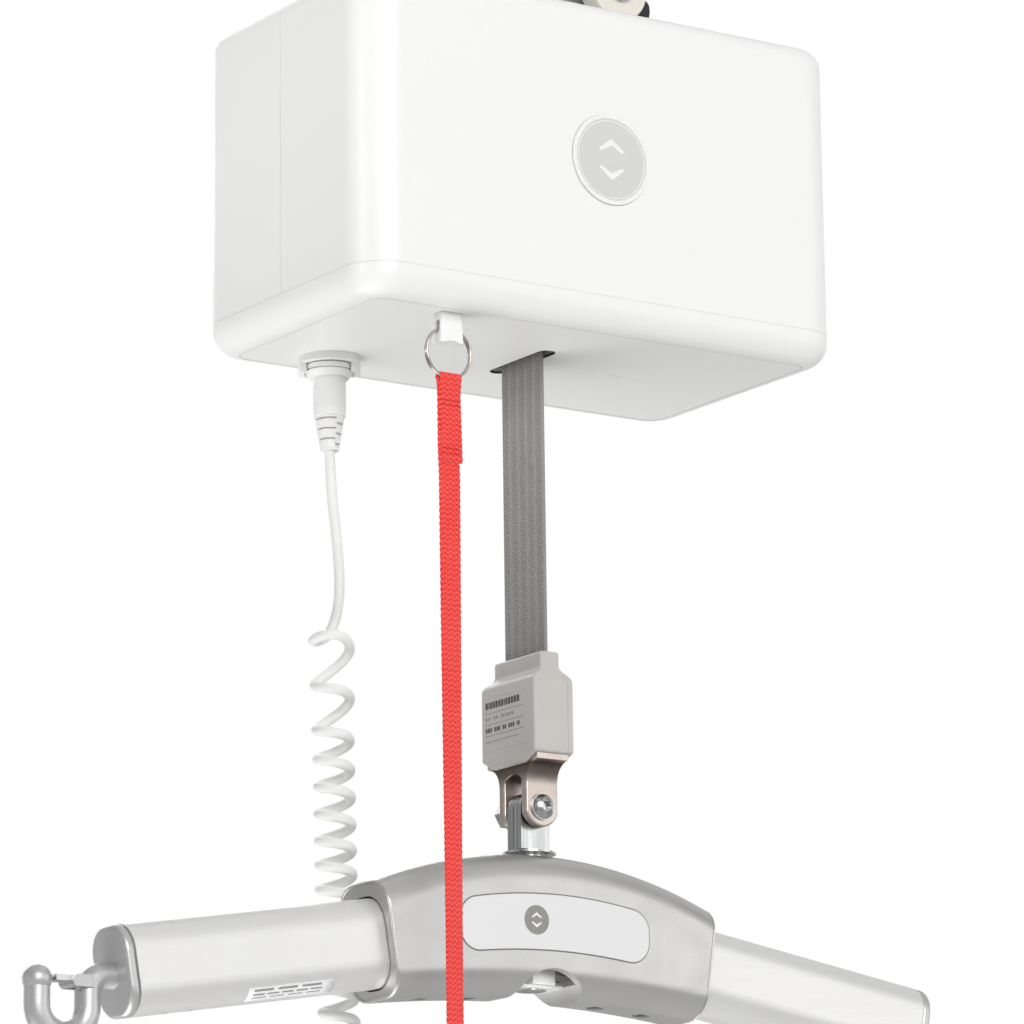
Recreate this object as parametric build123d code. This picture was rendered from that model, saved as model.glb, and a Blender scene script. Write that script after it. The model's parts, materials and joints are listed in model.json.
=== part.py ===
from build123d import *
import math
import os

# Ceiling-mounted patient lift hoist, hung from a trolley that runs in a ceiling rail.
# Millimetres. Origin: middle of the trolley, on the plane that its wheels roll on.
# +X runs along the rail and the casing's long side, +Y to the rear, +Z up.

os.makedirs("parts", exist_ok=True)

# ---- driving dimensions -------------------------------------------------------------------
CASE_LENGTH = 300.0        # along the rail
CASE_DEPTH = 168.6
CASE_HEIGHT = 175.5
CASE_TOP = -14.0           # clear of the rail's underside
CASE_CORNER = 22.0         # upright corners
CASE_TOP_ROUND = 10.0
CASE_BOTTOM_ROUND = 13.0
CASE_WALL = 3.0
TRAY_HEIGHT = 16.0         # the seam round the casing
SEAM_GAP = 0.25

STRAP_WIDTH = 38.0
STRAP_THICK = 2.2
SLOT_LENGTH = 54.0
SLOT_WIDTH = 9.4

SOCKET_X, SOCKET_Y = -92.0, 46.0
CABLE_D = 5.4
COIL_D = 22.4              # outside of the curly cord

POST_X, POST_Y = -87.4, -61.0
POST_WIDTH, POST_DEPTH = 12.4, 8.0
RING_R = 13.35             # split ring, to the middle of its wire
RING_WIRE_R = 0.7
PULL_STRAP_WIDTH = 12.7
PULL_STRAP_THICK = 1.3

DRUM_CORE_R = 18.0
ROLL_R = 41.5              # strap wound on the drum
DRUM_FLANGE_R = 47.0
GEAR_MODULE = 1.5
GEAR_TEETH = 60
PINION_TEETH = 15
PRESSURE_ANGLE = math.radians(20)
PINION_BEARING_ANGLE = math.radians(25)   # pinion's direction from the drum, above +X

BOLT_BELOW_CASE = 240.7    # clevis bolt
HUB_TOP_BELOW_CASE = 266.0
HUB_BOTTOM_BELOW_CASE = 340.5
HUB_HALF_DEPTH = 23.2
HUB_TOP_HALF, HUB_FOOT_HALF = 103.5, 94.5     # half its length, at the top and at the bottom
HUB_ROUND = 15.0
ARM_DIP = math.radians(9.2)
SPIGOT_CLEAR = 0.3
ARM_ROOT_BELOW_CASE = 301.7
TUBE_HEIGHT, TUBE_DEPTH, TUBE_ROUND, TUBE_WALL = 46.0, 34.0, 14.0, 3.0
TUBE_START, TUBE_END = 26.0, 246.0        # distance of the tube's ends from the middle

WHEEL_R = 18.0
WHEEL_WIDTH = 12.0
WHEEL_Y = 26.0
AXLE_X = 45.0
AXLE_R = 5.0
BEARING_R = 11.0
FRAME_HALF_X, FRAME_HALF_Y = 70.0, 9.0

HANDSET_WIDTH, HANDSET_DEPTH, HANDSET_HEIGHT = 52.0, 25.0, 142.0

CASE_BOTTOM = CASE_TOP - CASE_HEIGHT
RUN = 0.05                 # radial running clearance
FAR = 700.0                # larger than the object
saved = []


def low(z):
    """Height measured from the underside of the casing."""
    return CASE_BOTTOM + z


EMBLEM_R, EMBLEM_Z = 24.5, low(90)
BOLT_Z = low(-BOLT_BELOW_CASE)
HUB_TOP, HUB_BOTTOM = low(-HUB_TOP_BELOW_CASE), low(-HUB_BOTTOM_BELOW_CASE)
ARM_ROOT_Z = low(-ARM_ROOT_BELOW_CASE)


def save(name, *solids):
    shape = solids[0] if len(solids) == 1 else Compound(children=list(solids))
    saved.append(name)
    export_step(shape, f"parts/{name}.step")


def block(x0, x1, y0, y1, z0, z1):
    return Pos((x0 + x1) / 2, (y0 + y1) / 2, (z0 + z1) / 2) * Box(x1 - x0, y1 - y0, z1 - z0)


def rod(r, z0, z1, x=0.0, y=0.0):
    return Pos(x, y, (z0 + z1) / 2) * Cylinder(r, z1 - z0)


def rod_y(r, y0, y1, x=0.0, z=0.0):
    return Pos(x, (y0 + y1) / 2, z) * Rot(90, 0, 0) * Cylinder(r, y1 - y0)


def rod_x(r, x0, x1, y=0.0, z=0.0):
    return Pos((x0 + x1) / 2, y, z) * Rot(0, 90, 0) * Cylinder(r, x1 - x0)


def ring(r_out, r_in, z0, z1, x=0.0, y=0.0):
    return rod(r_out, z0, z1, x, y) - rod(r_in, z0 - 1, z1 + 1, x, y)


def ring_y(r_out, r_in, y0, y1, x=0.0, z=0.0):
    return rod_y(r_out, y0, y1, x, z) - rod_y(r_in, y0 - 1, y1 + 1, x, z)


def rounded_prism(length, depth, corner, z0, z1, x=0.0, y=0.0):
    face = Pos(x, y, z0) * RectangleRounded(length, depth, corner)
    return extrude(face, z1 - z0)


def slot_prism(length_y, width_x, z0, z1, x=0.0, y=0.0):
    face = Pos(x, y, z0) * Rot(0, 0, 90) * SlotOverall(length_y, width_x)
    return extrude(face, z1 - z0)


def loft_rects(z0, size0, z1, size1, corner, x=0.0, y=0.0):
    lower = Pos(x, y, z0) * RectangleRounded(*size0, corner)
    upper = Pos(x, y, z1) * RectangleRounded(*size1, corner)
    return loft([lower, upper])


def hexagon_rod(across_flats, z0, z1, x=0.0, y=0.0):
    face = Pos(x, y, z0) * RegularPolygon(across_flats / 2, 6, major_radius=False)
    return extrude(face, z1 - z0)


def edges_along_y(shape):
    return [e for e in shape.edges() if abs((e.end_point() - e.start_point()).normalized().Y) > 0.999]


def mirrored(shape):
    """The same piece on the other side of the middle, in X."""
    return mirror(shape, about=Plane.YZ)


# ---- casing ---------------------------------------------------------------------------------
def casing_blank(inset, top_round, bottom_round):
    body = rounded_prism(CASE_LENGTH - 2 * inset, CASE_DEPTH - 2 * inset, CASE_CORNER - inset,
                         CASE_BOTTOM + inset, CASE_TOP - inset)
    body = fillet(body.faces().sort_by(Axis.Z)[-1].edges(), top_round)
    return fillet(body.faces().sort_by(Axis.Z)[0].edges(), bottom_round)


def casing():
    shell = casing_blank(0, CASE_TOP_ROUND, CASE_BOTTOM_ROUND)
    shell -= casing_blank(CASE_WALL, CASE_TOP_ROUND - CASE_WALL, CASE_BOTTOM_ROUND - CASE_WALL)
    shell -= rod(13, CASE_TOP - 10, CASE_TOP + 10)            # for the hanger bolt
    seam = low(TRAY_HEIGHT)
    above = seam + SEAM_GAP
    badge_recess = rod_y(EMBLEM_R + 0.15, -CASE_DEPTH / 2 - 5, -CASE_DEPTH / 2 + 0.8, 0, EMBLEM_Z)
    half_gap = 0.15
    front = shell & block(-FAR, FAR, -FAR, -half_gap, above, FAR)
    rear = shell & block(-FAR, FAR, half_gap, FAR, above, FAR)
    save("casing_front", front - badge_recess)
    save("casing_rear", rear)

    tray = shell & block(-FAR, FAR, -FAR, FAR, -FAR, seam)
    lip_inset = CASE_WALL + 0.2
    lip = rounded_prism(CASE_LENGTH - 2 * lip_inset, CASE_DEPTH - 2 * lip_inset,
                        CASE_CORNER - lip_inset, low(11), low(21))
    lip -= rounded_prism(CASE_LENGTH - 2 * lip_inset - 3.6, CASE_DEPTH - 2 * lip_inset - 3.6,
                         CASE_CORNER - lip_inset - 1.8, low(10), low(22))
    tray += lip
    tray -= slot_prism(SLOT_LENGTH, SLOT_WIDTH, low(-1), low(5))
    tray -= rod(12.9, low(-1), low(5), SOCKET_X, SOCKET_Y)
    tray -= block(POST_X - POST_WIDTH / 2 - 0.4, POST_X + POST_WIDTH / 2 + 0.4,
                  POST_Y - POST_DEPTH / 2 - 0.4, POST_Y + POST_DEPTH / 2 + 0.4, low(-1), low(5))
    save("base_tray", tray)
    save("emblem", rod_y(EMBLEM_R, -CASE_DEPTH / 2 - 0.6, -CASE_DEPTH / 2 + 0.7, 0, EMBLEM_Z))


# ---- inside the casing ------------------------------------------------------------------------
PLATE_Y = 36.0             # inner faces of the chassis plates
PLATE_T = 3.0
DRUM_Z = low(74)
DRUM_X = -(ROLL_R + STRAP_THICK / 2 + 0.2)
PINION_DISTANCE = GEAR_MODULE * (GEAR_TEETH + PINION_TEETH) / 2
PINION_X = DRUM_X + PINION_DISTANCE * math.cos(PINION_BEARING_ANGLE)
PINION_Z = DRUM_Z + PINION_DISTANCE * math.sin(PINION_BEARING_ANGLE)
GEAR_Y0, GEAR_Y1 = 25.0, 33.0
SHAFT_R = 8.0
HANGER_TOP, HANGER_BOTTOM = CASE_TOP - 8, CASE_TOP - 30
HANGER_BOLT_R = 8.0


def chassis():
    def plate(y0, y1):
        p = fillet(edges_along_y(block(-94, 62, y0, y1, low(18), CASE_TOP - CASE_WALL)), 10)
        for x0, x1 in ((-62, -34), (26, 56)):                 # feet on the tray's floor
            p += block(x0, x1, y0, y1, low(CASE_WALL), low(30))
        p -= rod_y(16, y0 - 1, y1 + 1, DRUM_X, DRUM_Z)        # drum bearing
        p -= rod_y(14, y0 - 1, y1 + 1, PINION_X, PINION_Z)    # pinion shaft
        return p

    save("chassis_plates", plate(-PLATE_Y - PLATE_T, -PLATE_Y), plate(PLATE_Y, PLATE_Y + PLATE_T))
    spots = [(-86, low(26)), (54, low(26)), (-86, CASE_TOP - 18), (54, CASE_TOP - 18)]
    save("chassis_spacers", *[rod_y(5, -PLATE_Y, PLATE_Y, x, z) for x, z in spots])
    hanger = block(-30, 30, -PLATE_Y, PLATE_Y, HANGER_BOTTOM, HANGER_TOP)
    save("hanger_block", hanger - rod(HANGER_BOLT_R + 0.3, HANGER_BOTTOM - 1, HANGER_TOP + 1))


def involute_gear(teeth, backlash):
    """A spur gear's outline, centred, with one tooth pointing along +X."""
    pitch_r = GEAR_MODULE * teeth / 2
    base_r = pitch_r * math.cos(PRESSURE_ANGLE)
    tip_r, root_r = pitch_r + GEAR_MODULE * 0.95, pitch_r - GEAR_MODULE * 1.25
    inv = math.tan(PRESSURE_ANGLE) - PRESSURE_ANGLE
    half_tooth = math.pi / (2 * teeth) - backlash / (2 * pitch_r)
    start_r = max(base_r, root_r)

    def half_angle(r):
        a = math.acos(min(1.0, base_r / r))
        return half_tooth + inv - (math.tan(a) - a)

    radii = [start_r + (tip_r - start_r) * k / 4 for k in range(5)]
    points = []
    for tooth in range(teeth):
        mid = 2 * math.pi * tooth / teeth
        flank = [(r, half_angle(r)) for r in radii]
        if root_r < start_r:
            flank = [(root_r, half_angle(start_r))] + flank
        points += [(r * math.cos(mid - a), r * math.sin(mid - a)) for r, a in flank]
        points += [(r * math.cos(mid + a), r * math.sin(mid + a)) for r, a in reversed(flank)]
    return make_face(Polyline(*points, close=True))


def gear_solid(teeth, y0, y1, x, z, turn, backlash=0.12):
    """turn is the angle of one tooth, from +X towards +Z."""
    flat = extrude(Rot(0, 0, math.degrees(turn)) * involute_gear(teeth, backlash), y1 - y0)
    return Pos(x, y1, z) * Rot(90, 0, 0) * flat


def drive():
    drum_core = ring_y(DRUM_CORE_R, SHAFT_R, -21, 21, DRUM_X, DRUM_Z)
    drum = drum_core + ring_y(DRUM_FLANGE_R, SHAFT_R, -24.5, -21, DRUM_X, DRUM_Z)
    drum += ring_y(DRUM_FLANGE_R, SHAFT_R, 21, 24.5, DRUM_X, DRUM_Z)
    save("strap_drum", drum)
    roll = ring_y(ROLL_R, DRUM_CORE_R, -STRAP_WIDTH / 2, STRAP_WIDTH / 2, DRUM_X, DRUM_Z)
    save("wound_strap", roll)
    towards = PINION_BEARING_ANGLE
    gear = gear_solid(GEAR_TEETH, GEAR_Y0, GEAR_Y1, DRUM_X, DRUM_Z, towards)
    save("drum_gear", gear - rod_y(SHAFT_R, 0, 60, DRUM_X, DRUM_Z))
    save("drum_shaft", rod_y(SHAFT_R, -PLATE_Y - 6, PLATE_Y + 6, DRUM_X, DRUM_Z))
    save("drum_bearings", *[ring_y(16, SHAFT_R + RUN, y - 3.5, y + 3.5, DRUM_X, DRUM_Z)
                            for y in (-PLATE_Y - 1.5, PLATE_Y + 1.5)])
    # a pinion's gap faces the drum gear's tooth
    gap = towards + math.pi + math.pi / PINION_TEETH
    pinion = gear_solid(PINION_TEETH, GEAR_Y0, GEAR_Y1, PINION_X, PINION_Z, gap)
    pinion += rod_y(6, GEAR_Y1, PLATE_Y + PLATE_T + 3, PINION_X, PINION_Z)
    save("motor_pinion", pinion)

    box_y0, box_y1 = PLATE_Y + PLATE_T, 77
    gearbox = block(PINION_X - 26, PINION_X + 26, box_y0, box_y1, PINION_Z - 26, PINION_Z + 34)
    gearbox = fillet(gearbox.edges(), 3)
    gearbox -= rod_y(6 + RUN, box_y0 - 1, box_y0 + 8, PINION_X, PINION_Z)
    save("gearbox", gearbox)
    motor_z, motor_y = PINION_Z + 12, (box_y0 + box_y1) / 2
    motor = rod_x(19, PINION_X + 26, PINION_X + 108, motor_y, motor_z)
    motor += rod_x(8, PINION_X + 108, PINION_X + 112, motor_y, motor_z)
    save("motor", motor)


def electrics():
    def battery(y0):
        case = fillet(block(70, 141, y0, y0 + 66, low(16), low(80)).edges(), 2)
        for dy in (12, 54):
            case += block(76, 83, y0 + dy - 2.5, y0 + dy + 2.5, low(80), low(86))
        return case

    save("batteries", battery(-68), battery(2))
    board_y = -PLATE_Y - PLATE_T - 4
    board = block(-62, 56, board_y - 1.6, board_y, low(52), low(150))
    for x in (-56, 50):
        for z in (low(58), low(144)):
            board += rod_y(3, board_y, board_y + 4, x, z)
    for x, z, w, h, t in ((-40, 128, 24, 18, 15), (-10, 128, 24, 18, 15), (30, 124, 18, 18, 4),
                          (-44, 78, 14, 26, 12), (36, 70, 28, 10, 11), (-6, 84, 30, 22, 3)):
        board += block(x - w / 2, x + w / 2, board_y - 1.6 - t, board_y - 1.6,
                       low(z - h / 2), low(z + h / 2))
    for x in (4, 18):
        board += rod_y(6, board_y - 22, board_y - 1.6, x, low(105))
    save("control_board", board)
    guide = rounded_prism(24, 66, 5, low(CASE_WALL), low(8))
    guide -= slot_prism(STRAP_WIDTH + 6, 6, low(0), low(10))
    save("strap_guide", guide)

    def micro_switch(x, y, z):
        s = block(x - 10, x + 10, y - 3.2, y + 3.2, z, z + 10)
        s += block(x - 1.5, x + 1.5, y - 1.5, y + 1.5, z - 1.2, z)
        for dx in (-7, 0, 7):
            s += block(x + dx - 1.5, x + dx + 1.5, y - 0.4, y + 0.4, z + 10, z + 16)
        return s

    save("micro_switches", micro_switch(POST_X, POST_Y, low(26)), micro_switch(26, 0, low(12)))


# ---- handset socket, plug and cord ------------------------------------------------------------
LEAD = [(-92.0, 46.0, -50.5), (-91.3, 45.8, -72.0), (-89.1, 44.4, -96.0),
        (-87.7, 43.5, -118.0), (-88.0, 44.2, -133.0), (-91.6, 46.0, -147.0)]
TAIL = [(-86.0, 46.0, -469.0), (-86.0, 46.1, -479.0), (-86.0, 46.45, -490.0), (-86.0, 47.0, -500.0)]
HANDSET_X, HANDSET_Y = -86.0, 47.0
HANDSET_TOP = low(-512)


def tube(points, diameter, name):
    """A round tube along straight runs joined by arcs as large as the runs allow."""
    pts = [Vector(x, y, low(z)) for x, y, z in points]
    radii = []
    for a, b, c in zip(pts, pts[1:], pts[2:]):
        turn = math.radians((b - a).get_angle(c - b))
        radii.append(0.45 * min((b - a).length, (c - b).length) / math.tan(turn / 2))
    path = FilletPolyline(*pts, radius=radii)
    start = Plane(origin=path @ 0, z_dir=path % 0)
    solid = sweep(start * Circle(diameter / 2), path=path)
    expected = math.pi * diameter ** 2 / 4 * path.length
    print(name, "radii", [round(r, 1) for r in radii], "length", round(path.length, 1),
          "volume ratio", round(solid.volume / expected, 4))
    return solid


def cord():
    at = (SOCKET_X, SOCKET_Y)
    socket = ring(16.5, 10.5, low(-4), low(0), *at) + ring(12.8, 10.5, low(-0.5), low(16), *at)
    socket += rod(12.8, low(15), low(17), *at)
    lugs = ring(16.5, 13.3, low(-9), low(-3.5), *at)
    wedge = block(SOCKET_X - 20, SOCKET_X + 20, SOCKET_Y - 6.5, SOCKET_Y + 6.5, low(-10), low(0))
    socket += lugs & (Pos(SOCKET_X, SOCKET_Y, 0) * Rot(0, 0, -34) * Pos(-SOCKET_X, -SOCKET_Y, 0) * wedge)
    save("handset_socket", socket)
    plug = rod(10.2, low(-5), low(13), *at) + rod(12.5, low(-7.2), low(-4.6), *at)
    plug += rod(11.4, low(-8.2), low(-7.2), *at)
    skirt = Pos(*at, low(-9.8)) * Cone(10.4, 12.7, 3.2)
    plug += skirt + rod(8.5, low(-32), low(-10), *at)
    for k in range(9):
        plug += ring(8.75, 8.0, low(-13.4 - 1.9 * k), low(-12.6 - 1.9 * k), *at)
    save("cord_plug", plug)
    relief = Pos(*at, low(-41.25)) * Cone(4.8, 7.9, 18.5)
    for k in range(6):
        z = -34.0 - 2.7 * k
        wall = 7.4 - 0.45 * k
        side = 1 if k % 2 else -1
        relief -= ring(12, wall - 1.8, low(z - 0.55), low(z + 0.55), *at) & block(
            SOCKET_X + min(0, side * 14), SOCKET_X + max(0, side * 14), SOCKET_Y - 14, SOCKET_Y + 14,
            low(z - 1), low(z + 1))
    save("plug_relief", relief)
    save("cord_lead", tube(LEAD, CABLE_D, "cord_lead"))
    top, bottom = Vector(-91.6, 46, low(-147)), Vector(-86.0, 46, low(-469))
    axis = bottom - top
    coil = extrude(Plane(origin=top, z_dir=axis) * Circle(COIL_D / 2), axis.length)
    save("cord_coil", coil)
    save("cord_tail", tube(TAIL, CABLE_D, "cord_tail"))


# ---- handset ------------------------------------------------------------------------------------
BUTTON_Z = (HANDSET_TOP - 38, HANDSET_TOP - 70)
BUTTON_W, BUTTON_H = 24.0, 22.0


def handset():
    bottom = HANDSET_TOP - HANDSET_HEIGHT
    body = block(HANDSET_X - HANDSET_WIDTH / 2, HANDSET_X + HANDSET_WIDTH / 2,
                 HANDSET_Y - HANDSET_DEPTH / 2, HANDSET_Y + HANDSET_DEPTH / 2, bottom, HANDSET_TOP)
    body = fillet(edges_along_y(body), 16)
    body = fillet(body.faces().sort_by(Axis.Y)[0].edges() + body.faces().sort_by(Axis.Y)[-1].edges(), 5)
    core = block(HANDSET_X - HANDSET_WIDTH / 2 + 2.2, HANDSET_X + HANDSET_WIDTH / 2 - 2.2,
                 HANDSET_Y - HANDSET_DEPTH / 2 + 2.2, HANDSET_Y + HANDSET_DEPTH / 2 - 2.2,
                 bottom + 2.2, HANDSET_TOP - 2.2)
    core = fillet(edges_along_y(core), 14)
    shell = body - core
    nose_mid = (HANDSET_TOP + low(-500)) / 2
    nose = Pos(HANDSET_X, HANDSET_Y, nose_mid) * Cone(7.5, 4.6, low(-500) - HANDSET_TOP)
    split = HANDSET_Y + 2
    front = shell & block(-FAR, FAR, -FAR, split - 0.1, -2 * FAR, 0)
    back = shell & block(-FAR, FAR, split + 0.1, FAR, -2 * FAR, 0)
    for z in BUTTON_Z:
        front -= block(HANDSET_X - BUTTON_W / 2 - 0.4, HANDSET_X + BUTTON_W / 2 + 0.4, -FAR, split - 6,
                       z - BUTTON_H / 2 - 0.4, z + BUTTON_H / 2 + 0.4)
    front += nose
    save("handset_front", front)
    save("handset_back", back)
    board = block(HANDSET_X - 17, HANDSET_X + 17, split + 1, split + 2.6, bottom + 14, HANDSET_TOP - 12)
    for z in BUTTON_Z:
        board += block(HANDSET_X - 3, HANDSET_X + 3, split - 2, split + 1, z - 3, z + 3)
    save("handset_board", board)
    face_y = HANDSET_Y - HANDSET_DEPTH / 2
    for name, z in zip(("button_up", "button_down"), BUTTON_Z):
        key = block(HANDSET_X - BUTTON_W / 2, HANDSET_X + BUTTON_W / 2, face_y - 1.6, face_y + 4,
                    z - BUTTON_H / 2, z + BUTTON_H / 2)
        key = fillet(edges_along_y(key), 5)
        key = fillet(key.faces().sort_by(Axis.Y)[0].edges(), 1.2)
        key += block(HANDSET_X - BUTTON_W / 2 - 1.5, HANDSET_X + BUTTON_W / 2 + 1.5, face_y + 2.6,
                     face_y + 4, z - BUTTON_H / 2 - 1.5, z + BUTTON_H / 2 + 1.5)
        key += rod_y(2.5, face_y + 4, split - 4.5, HANDSET_X, z)
        save(name, key)


# ---- emergency pull -----------------------------------------------------------------------------
RING_Z = low(-20.5)
PULL_END = low(-612)


def pull():
    post = block(POST_X - POST_WIDTH / 2, POST_X + POST_WIDTH / 2, POST_Y - POST_DEPTH / 2,
                 POST_Y + POST_DEPTH / 2, low(0), low(24))
    post += loft_rects(low(-16), (POST_WIDTH + 1.5, POST_DEPTH + 1), low(0), (POST_WIDTH, POST_DEPTH),
                       1.2, POST_X, POST_Y)
    post += block(POST_X - 10, POST_X + 10, POST_Y - 8, POST_Y + 8, low(18), low(21))
    eye = Pos(POST_X, POST_Y, low(-7.1)) * Rot(0, 90, 0) * extrude(SlotOverall(6.8, 4.2), 20, both=True)
    post -= eye
    post -= rod_y(9, POST_Y - 10, POST_Y + 10, POST_X, low(-24))
    save("pull_post", post)
    two_coils = Plane.XZ * Pos(RING_R, 0) * RectangleRounded(2 * RING_WIRE_R, 4 * RING_WIRE_R,
                                                             0.9 * RING_WIRE_R)
    save("split_ring", Pos(POST_X, POST_Y, RING_Z) * Rot(90, 0, 0) * revolve(two_coils, Axis.Z))

    loop_half_y = 2.9
    strap = block(POST_X - PULL_STRAP_WIDTH / 2, POST_X + PULL_STRAP_WIDTH / 2, POST_Y - loop_half_y,
                  POST_Y + loop_half_y, low(-38), low(-31.8))
    strap += block(POST_X - PULL_STRAP_WIDTH / 2, POST_X + PULL_STRAP_WIDTH / 2,
                   POST_Y - 1.5 * PULL_STRAP_THICK, POST_Y + 1.5 * PULL_STRAP_THICK, low(-78), low(-38))
    strap += block(POST_X - PULL_STRAP_WIDTH / 2, POST_X + PULL_STRAP_WIDTH / 2,
                   POST_Y - 0.5 * PULL_STRAP_THICK, POST_Y + 0.5 * PULL_STRAP_THICK, PULL_END, low(-78))
    around_ring = Torus(RING_R, 2.0)
    strap -= Pos(POST_X, POST_Y, RING_Z) * Rot(90, 0, 0) * around_ring
    save("pull_strap", strap)
    coil_free = 14.6
    spring = ring(11.5, 9.9, low(CASE_WALL + 0.2), low(CASE_WALL + 0.2 + coil_free), POST_X, POST_Y)
    save("pull_spring", spring)
    grip = Pos(POST_X, POST_Y, PULL_END - 18) * Cylinder(11, 44)
    grip = fillet(grip.edges(), 6)
    grip -= block(POST_X - PULL_STRAP_WIDTH / 2 - 0.3, POST_X + PULL_STRAP_WIDTH / 2 + 0.3,
                  POST_Y - 0.9, POST_Y + 0.9, PULL_END, PULL_END + 20)
    save("strap_grip", grip)


# ---- strap and coupling -------------------------------------------------------------------------
PIN_Z = low(-196)
COVER_TOP, COVER_SHOULDER, COVER_BOTTOM, COVER_SIDE_BOTTOM = (low(-160), low(-174), low(-218.5),
                                                              low(-213.5))
COVER_ROUND = 1.8
LID_X = 8.5


def strap_and_coupling():
    strap = block(-STRAP_THICK / 2, STRAP_THICK / 2, -STRAP_WIDTH / 2, STRAP_WIDTH / 2, PIN_Z, DRUM_Z)
    strap += rod_y(7, -STRAP_WIDTH / 2, STRAP_WIDTH / 2, 0, PIN_Z)
    strap -= rod_y(4.6, -STRAP_WIDTH, STRAP_WIDTH, 0, PIN_Z)
    save("lifting_strap", strap)
    save("strap_pin", rod_y(4.5, -21.9, 21.9, 0, PIN_Z))

    def cover_profile(half_lip, half_body, half_foot):
        """Straight lip, curved shoulder, straight body, and a foot that is cut off at its corners."""
        lip_foot, shoulder = COVER_TOP - 7, COVER_SHOULDER - 3
        right = Spline((half_lip, lip_foot), (half_body, shoulder), tangents=((0, -1), (0, -1)))
        foot = Polyline((half_body, shoulder), (half_body, COVER_SIDE_BOTTOM), (half_foot, COVER_BOTTOM),
                        (-half_foot, COVER_BOTTOM), (-half_body, COVER_SIDE_BOTTOM), (-half_body, shoulder))
        left = Spline((-half_body, shoulder), (-half_lip, lip_foot), tangents=((0, 1), (0, 1)))
        lip = Polyline((-half_lip, lip_foot), (-half_lip, COVER_TOP), (half_lip, COVER_TOP),
                       (half_lip, lip_foot))
        return make_face(right + foot + left + lip)

    cover = extrude(Plane.XZ * cover_profile(6.0, 12.5, 12.49), FAR, both=True)
    cover &= extrude(Plane.YZ * cover_profile(22.0, 25.0, 14.0), FAR, both=True)
    cover = fillet(cover.edges(), COVER_ROUND)
    cover -= block(-10, 10, -22.4, 22.4, low(-212.5), COVER_TOP - 14)
    cover -= block(-2.6, 2.6, -STRAP_WIDTH / 2 - 1, STRAP_WIDTH / 2 + 1, COVER_TOP - 20, COVER_TOP + 1)
    cover -= block(-10.3, 10.3, -23.5, 23.5, COVER_BOTTOM - 2, low(-212))
    save("coupling_cover", cover & block(-30, LID_X, -40, 40, COVER_BOTTOM - 1, COVER_TOP + 1))
    save("cover_lid", cover & block(LID_X + 0.15, 30, -40, 40, COVER_BOTTOM - 1, COVER_TOP + 1))


EAR_INNER, EAR_OUTER, EAR_ROUND = 7.6, 12.8, 10.3
BOLT_R = 4.0
CLEVIS_HALF, CLEVIS_ROUND = 9.9, 1.1
HEAD_R, HEAD_RIM, HEAD_HEIGHT = 7.0, 1.2, 4.2


def clevis():
    flange_top, flange_low, neck, arch = low(-213.7), low(-217.3), low(-228), low(-223)
    outline = Polyline((-23, flange_low), (-23, flange_top), (23, flange_top), (23, flange_low))
    outline += Spline((23, flange_low), (EAR_OUTER, neck), tangents=((-1, -0.15), (-0.1, -1)))
    outline += Polyline((EAR_OUTER, neck), (EAR_OUTER, BOLT_Z - 15), (EAR_INNER, BOLT_Z - 15),
                        (EAR_INNER, arch - 3))
    outline += ThreePointArc((EAR_INNER, arch - 3), (0, arch), (-EAR_INNER, arch - 3))
    outline += Polyline((-EAR_INNER, arch - 3), (-EAR_INNER, BOLT_Z - 15), (-EAR_OUTER, BOLT_Z - 15),
                        (-EAR_OUTER, neck))
    outline += Spline((-EAR_OUTER, neck), (-23, flange_low), tangents=((-0.1, 1), (-1, 0.15)))
    body = extrude(Plane.YZ * make_face(outline), CLEVIS_HALF, both=True)
    above_bolt = block(-CLEVIS_HALF, CLEVIS_HALF, -40, 40, BOLT_Z, low(-180))
    body &= above_bolt + rod_y(EAR_ROUND, -40, 40, 0, BOLT_Z)
    body = fillet([e for e in body.edges() if e.center().Z < flange_low - 0.2], CLEVIS_ROUND)
    cheeks = block(-CLEVIS_HALF, CLEVIS_HALF, -22.2, 22.2, flange_top - 1, low(-187))
    body += cheeks - block(-CLEVIS_HALF, CLEVIS_HALF, -19.4, 19.4, low(-206), low(-180))
    body -= rod_y(BOLT_R + RUN, -40, 40, 0, BOLT_Z)
    body -= rod_y(4.55, -40, 40, 0, PIN_Z)
    save("clevis", body)
    head_face = -EAR_OUTER - HEAD_HEIGHT
    dome = Pos(0, head_face + 7.6, BOLT_Z) * Sphere(8.1)
    head = rod_y(HEAD_R, -EAR_OUTER - HEAD_RIM, -EAR_OUTER, 0, BOLT_Z)
    head += dome & rod_y(6.6, head_face, -EAR_OUTER - HEAD_RIM, 0, BOLT_Z)
    head -= Pos(0, -EAR_OUTER - 1.8, BOLT_Z) * Rot(90, 0, 0) * extrude(
        RegularPolygon(2.5, 6, major_radius=False), 4)
    bolt = head + rod_y(BOLT_R, -EAR_OUTER, 23, 0, BOLT_Z)
    nut = Pos(0, EAR_OUTER + 8, BOLT_Z) * Rot(90, 0, 0) * extrude(
        RegularPolygon(6.5, 6, major_radius=False), 8) - rod_y(BOLT_R, 0, 40, 0, BOLT_Z)
    save("clevis_bolt", bolt, nut)


# ---- swivel eye and its nut -----------------------------------------------------------------------
STEM_R = 8.0
TONGUE_HALF_X, TONGUE_HALF_Y, TONGUE_FOOT = 9.1, 6.2, low(-262)
CORE_BOTTOM = low(-319)
STEM_END = low(-335.4)


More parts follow.
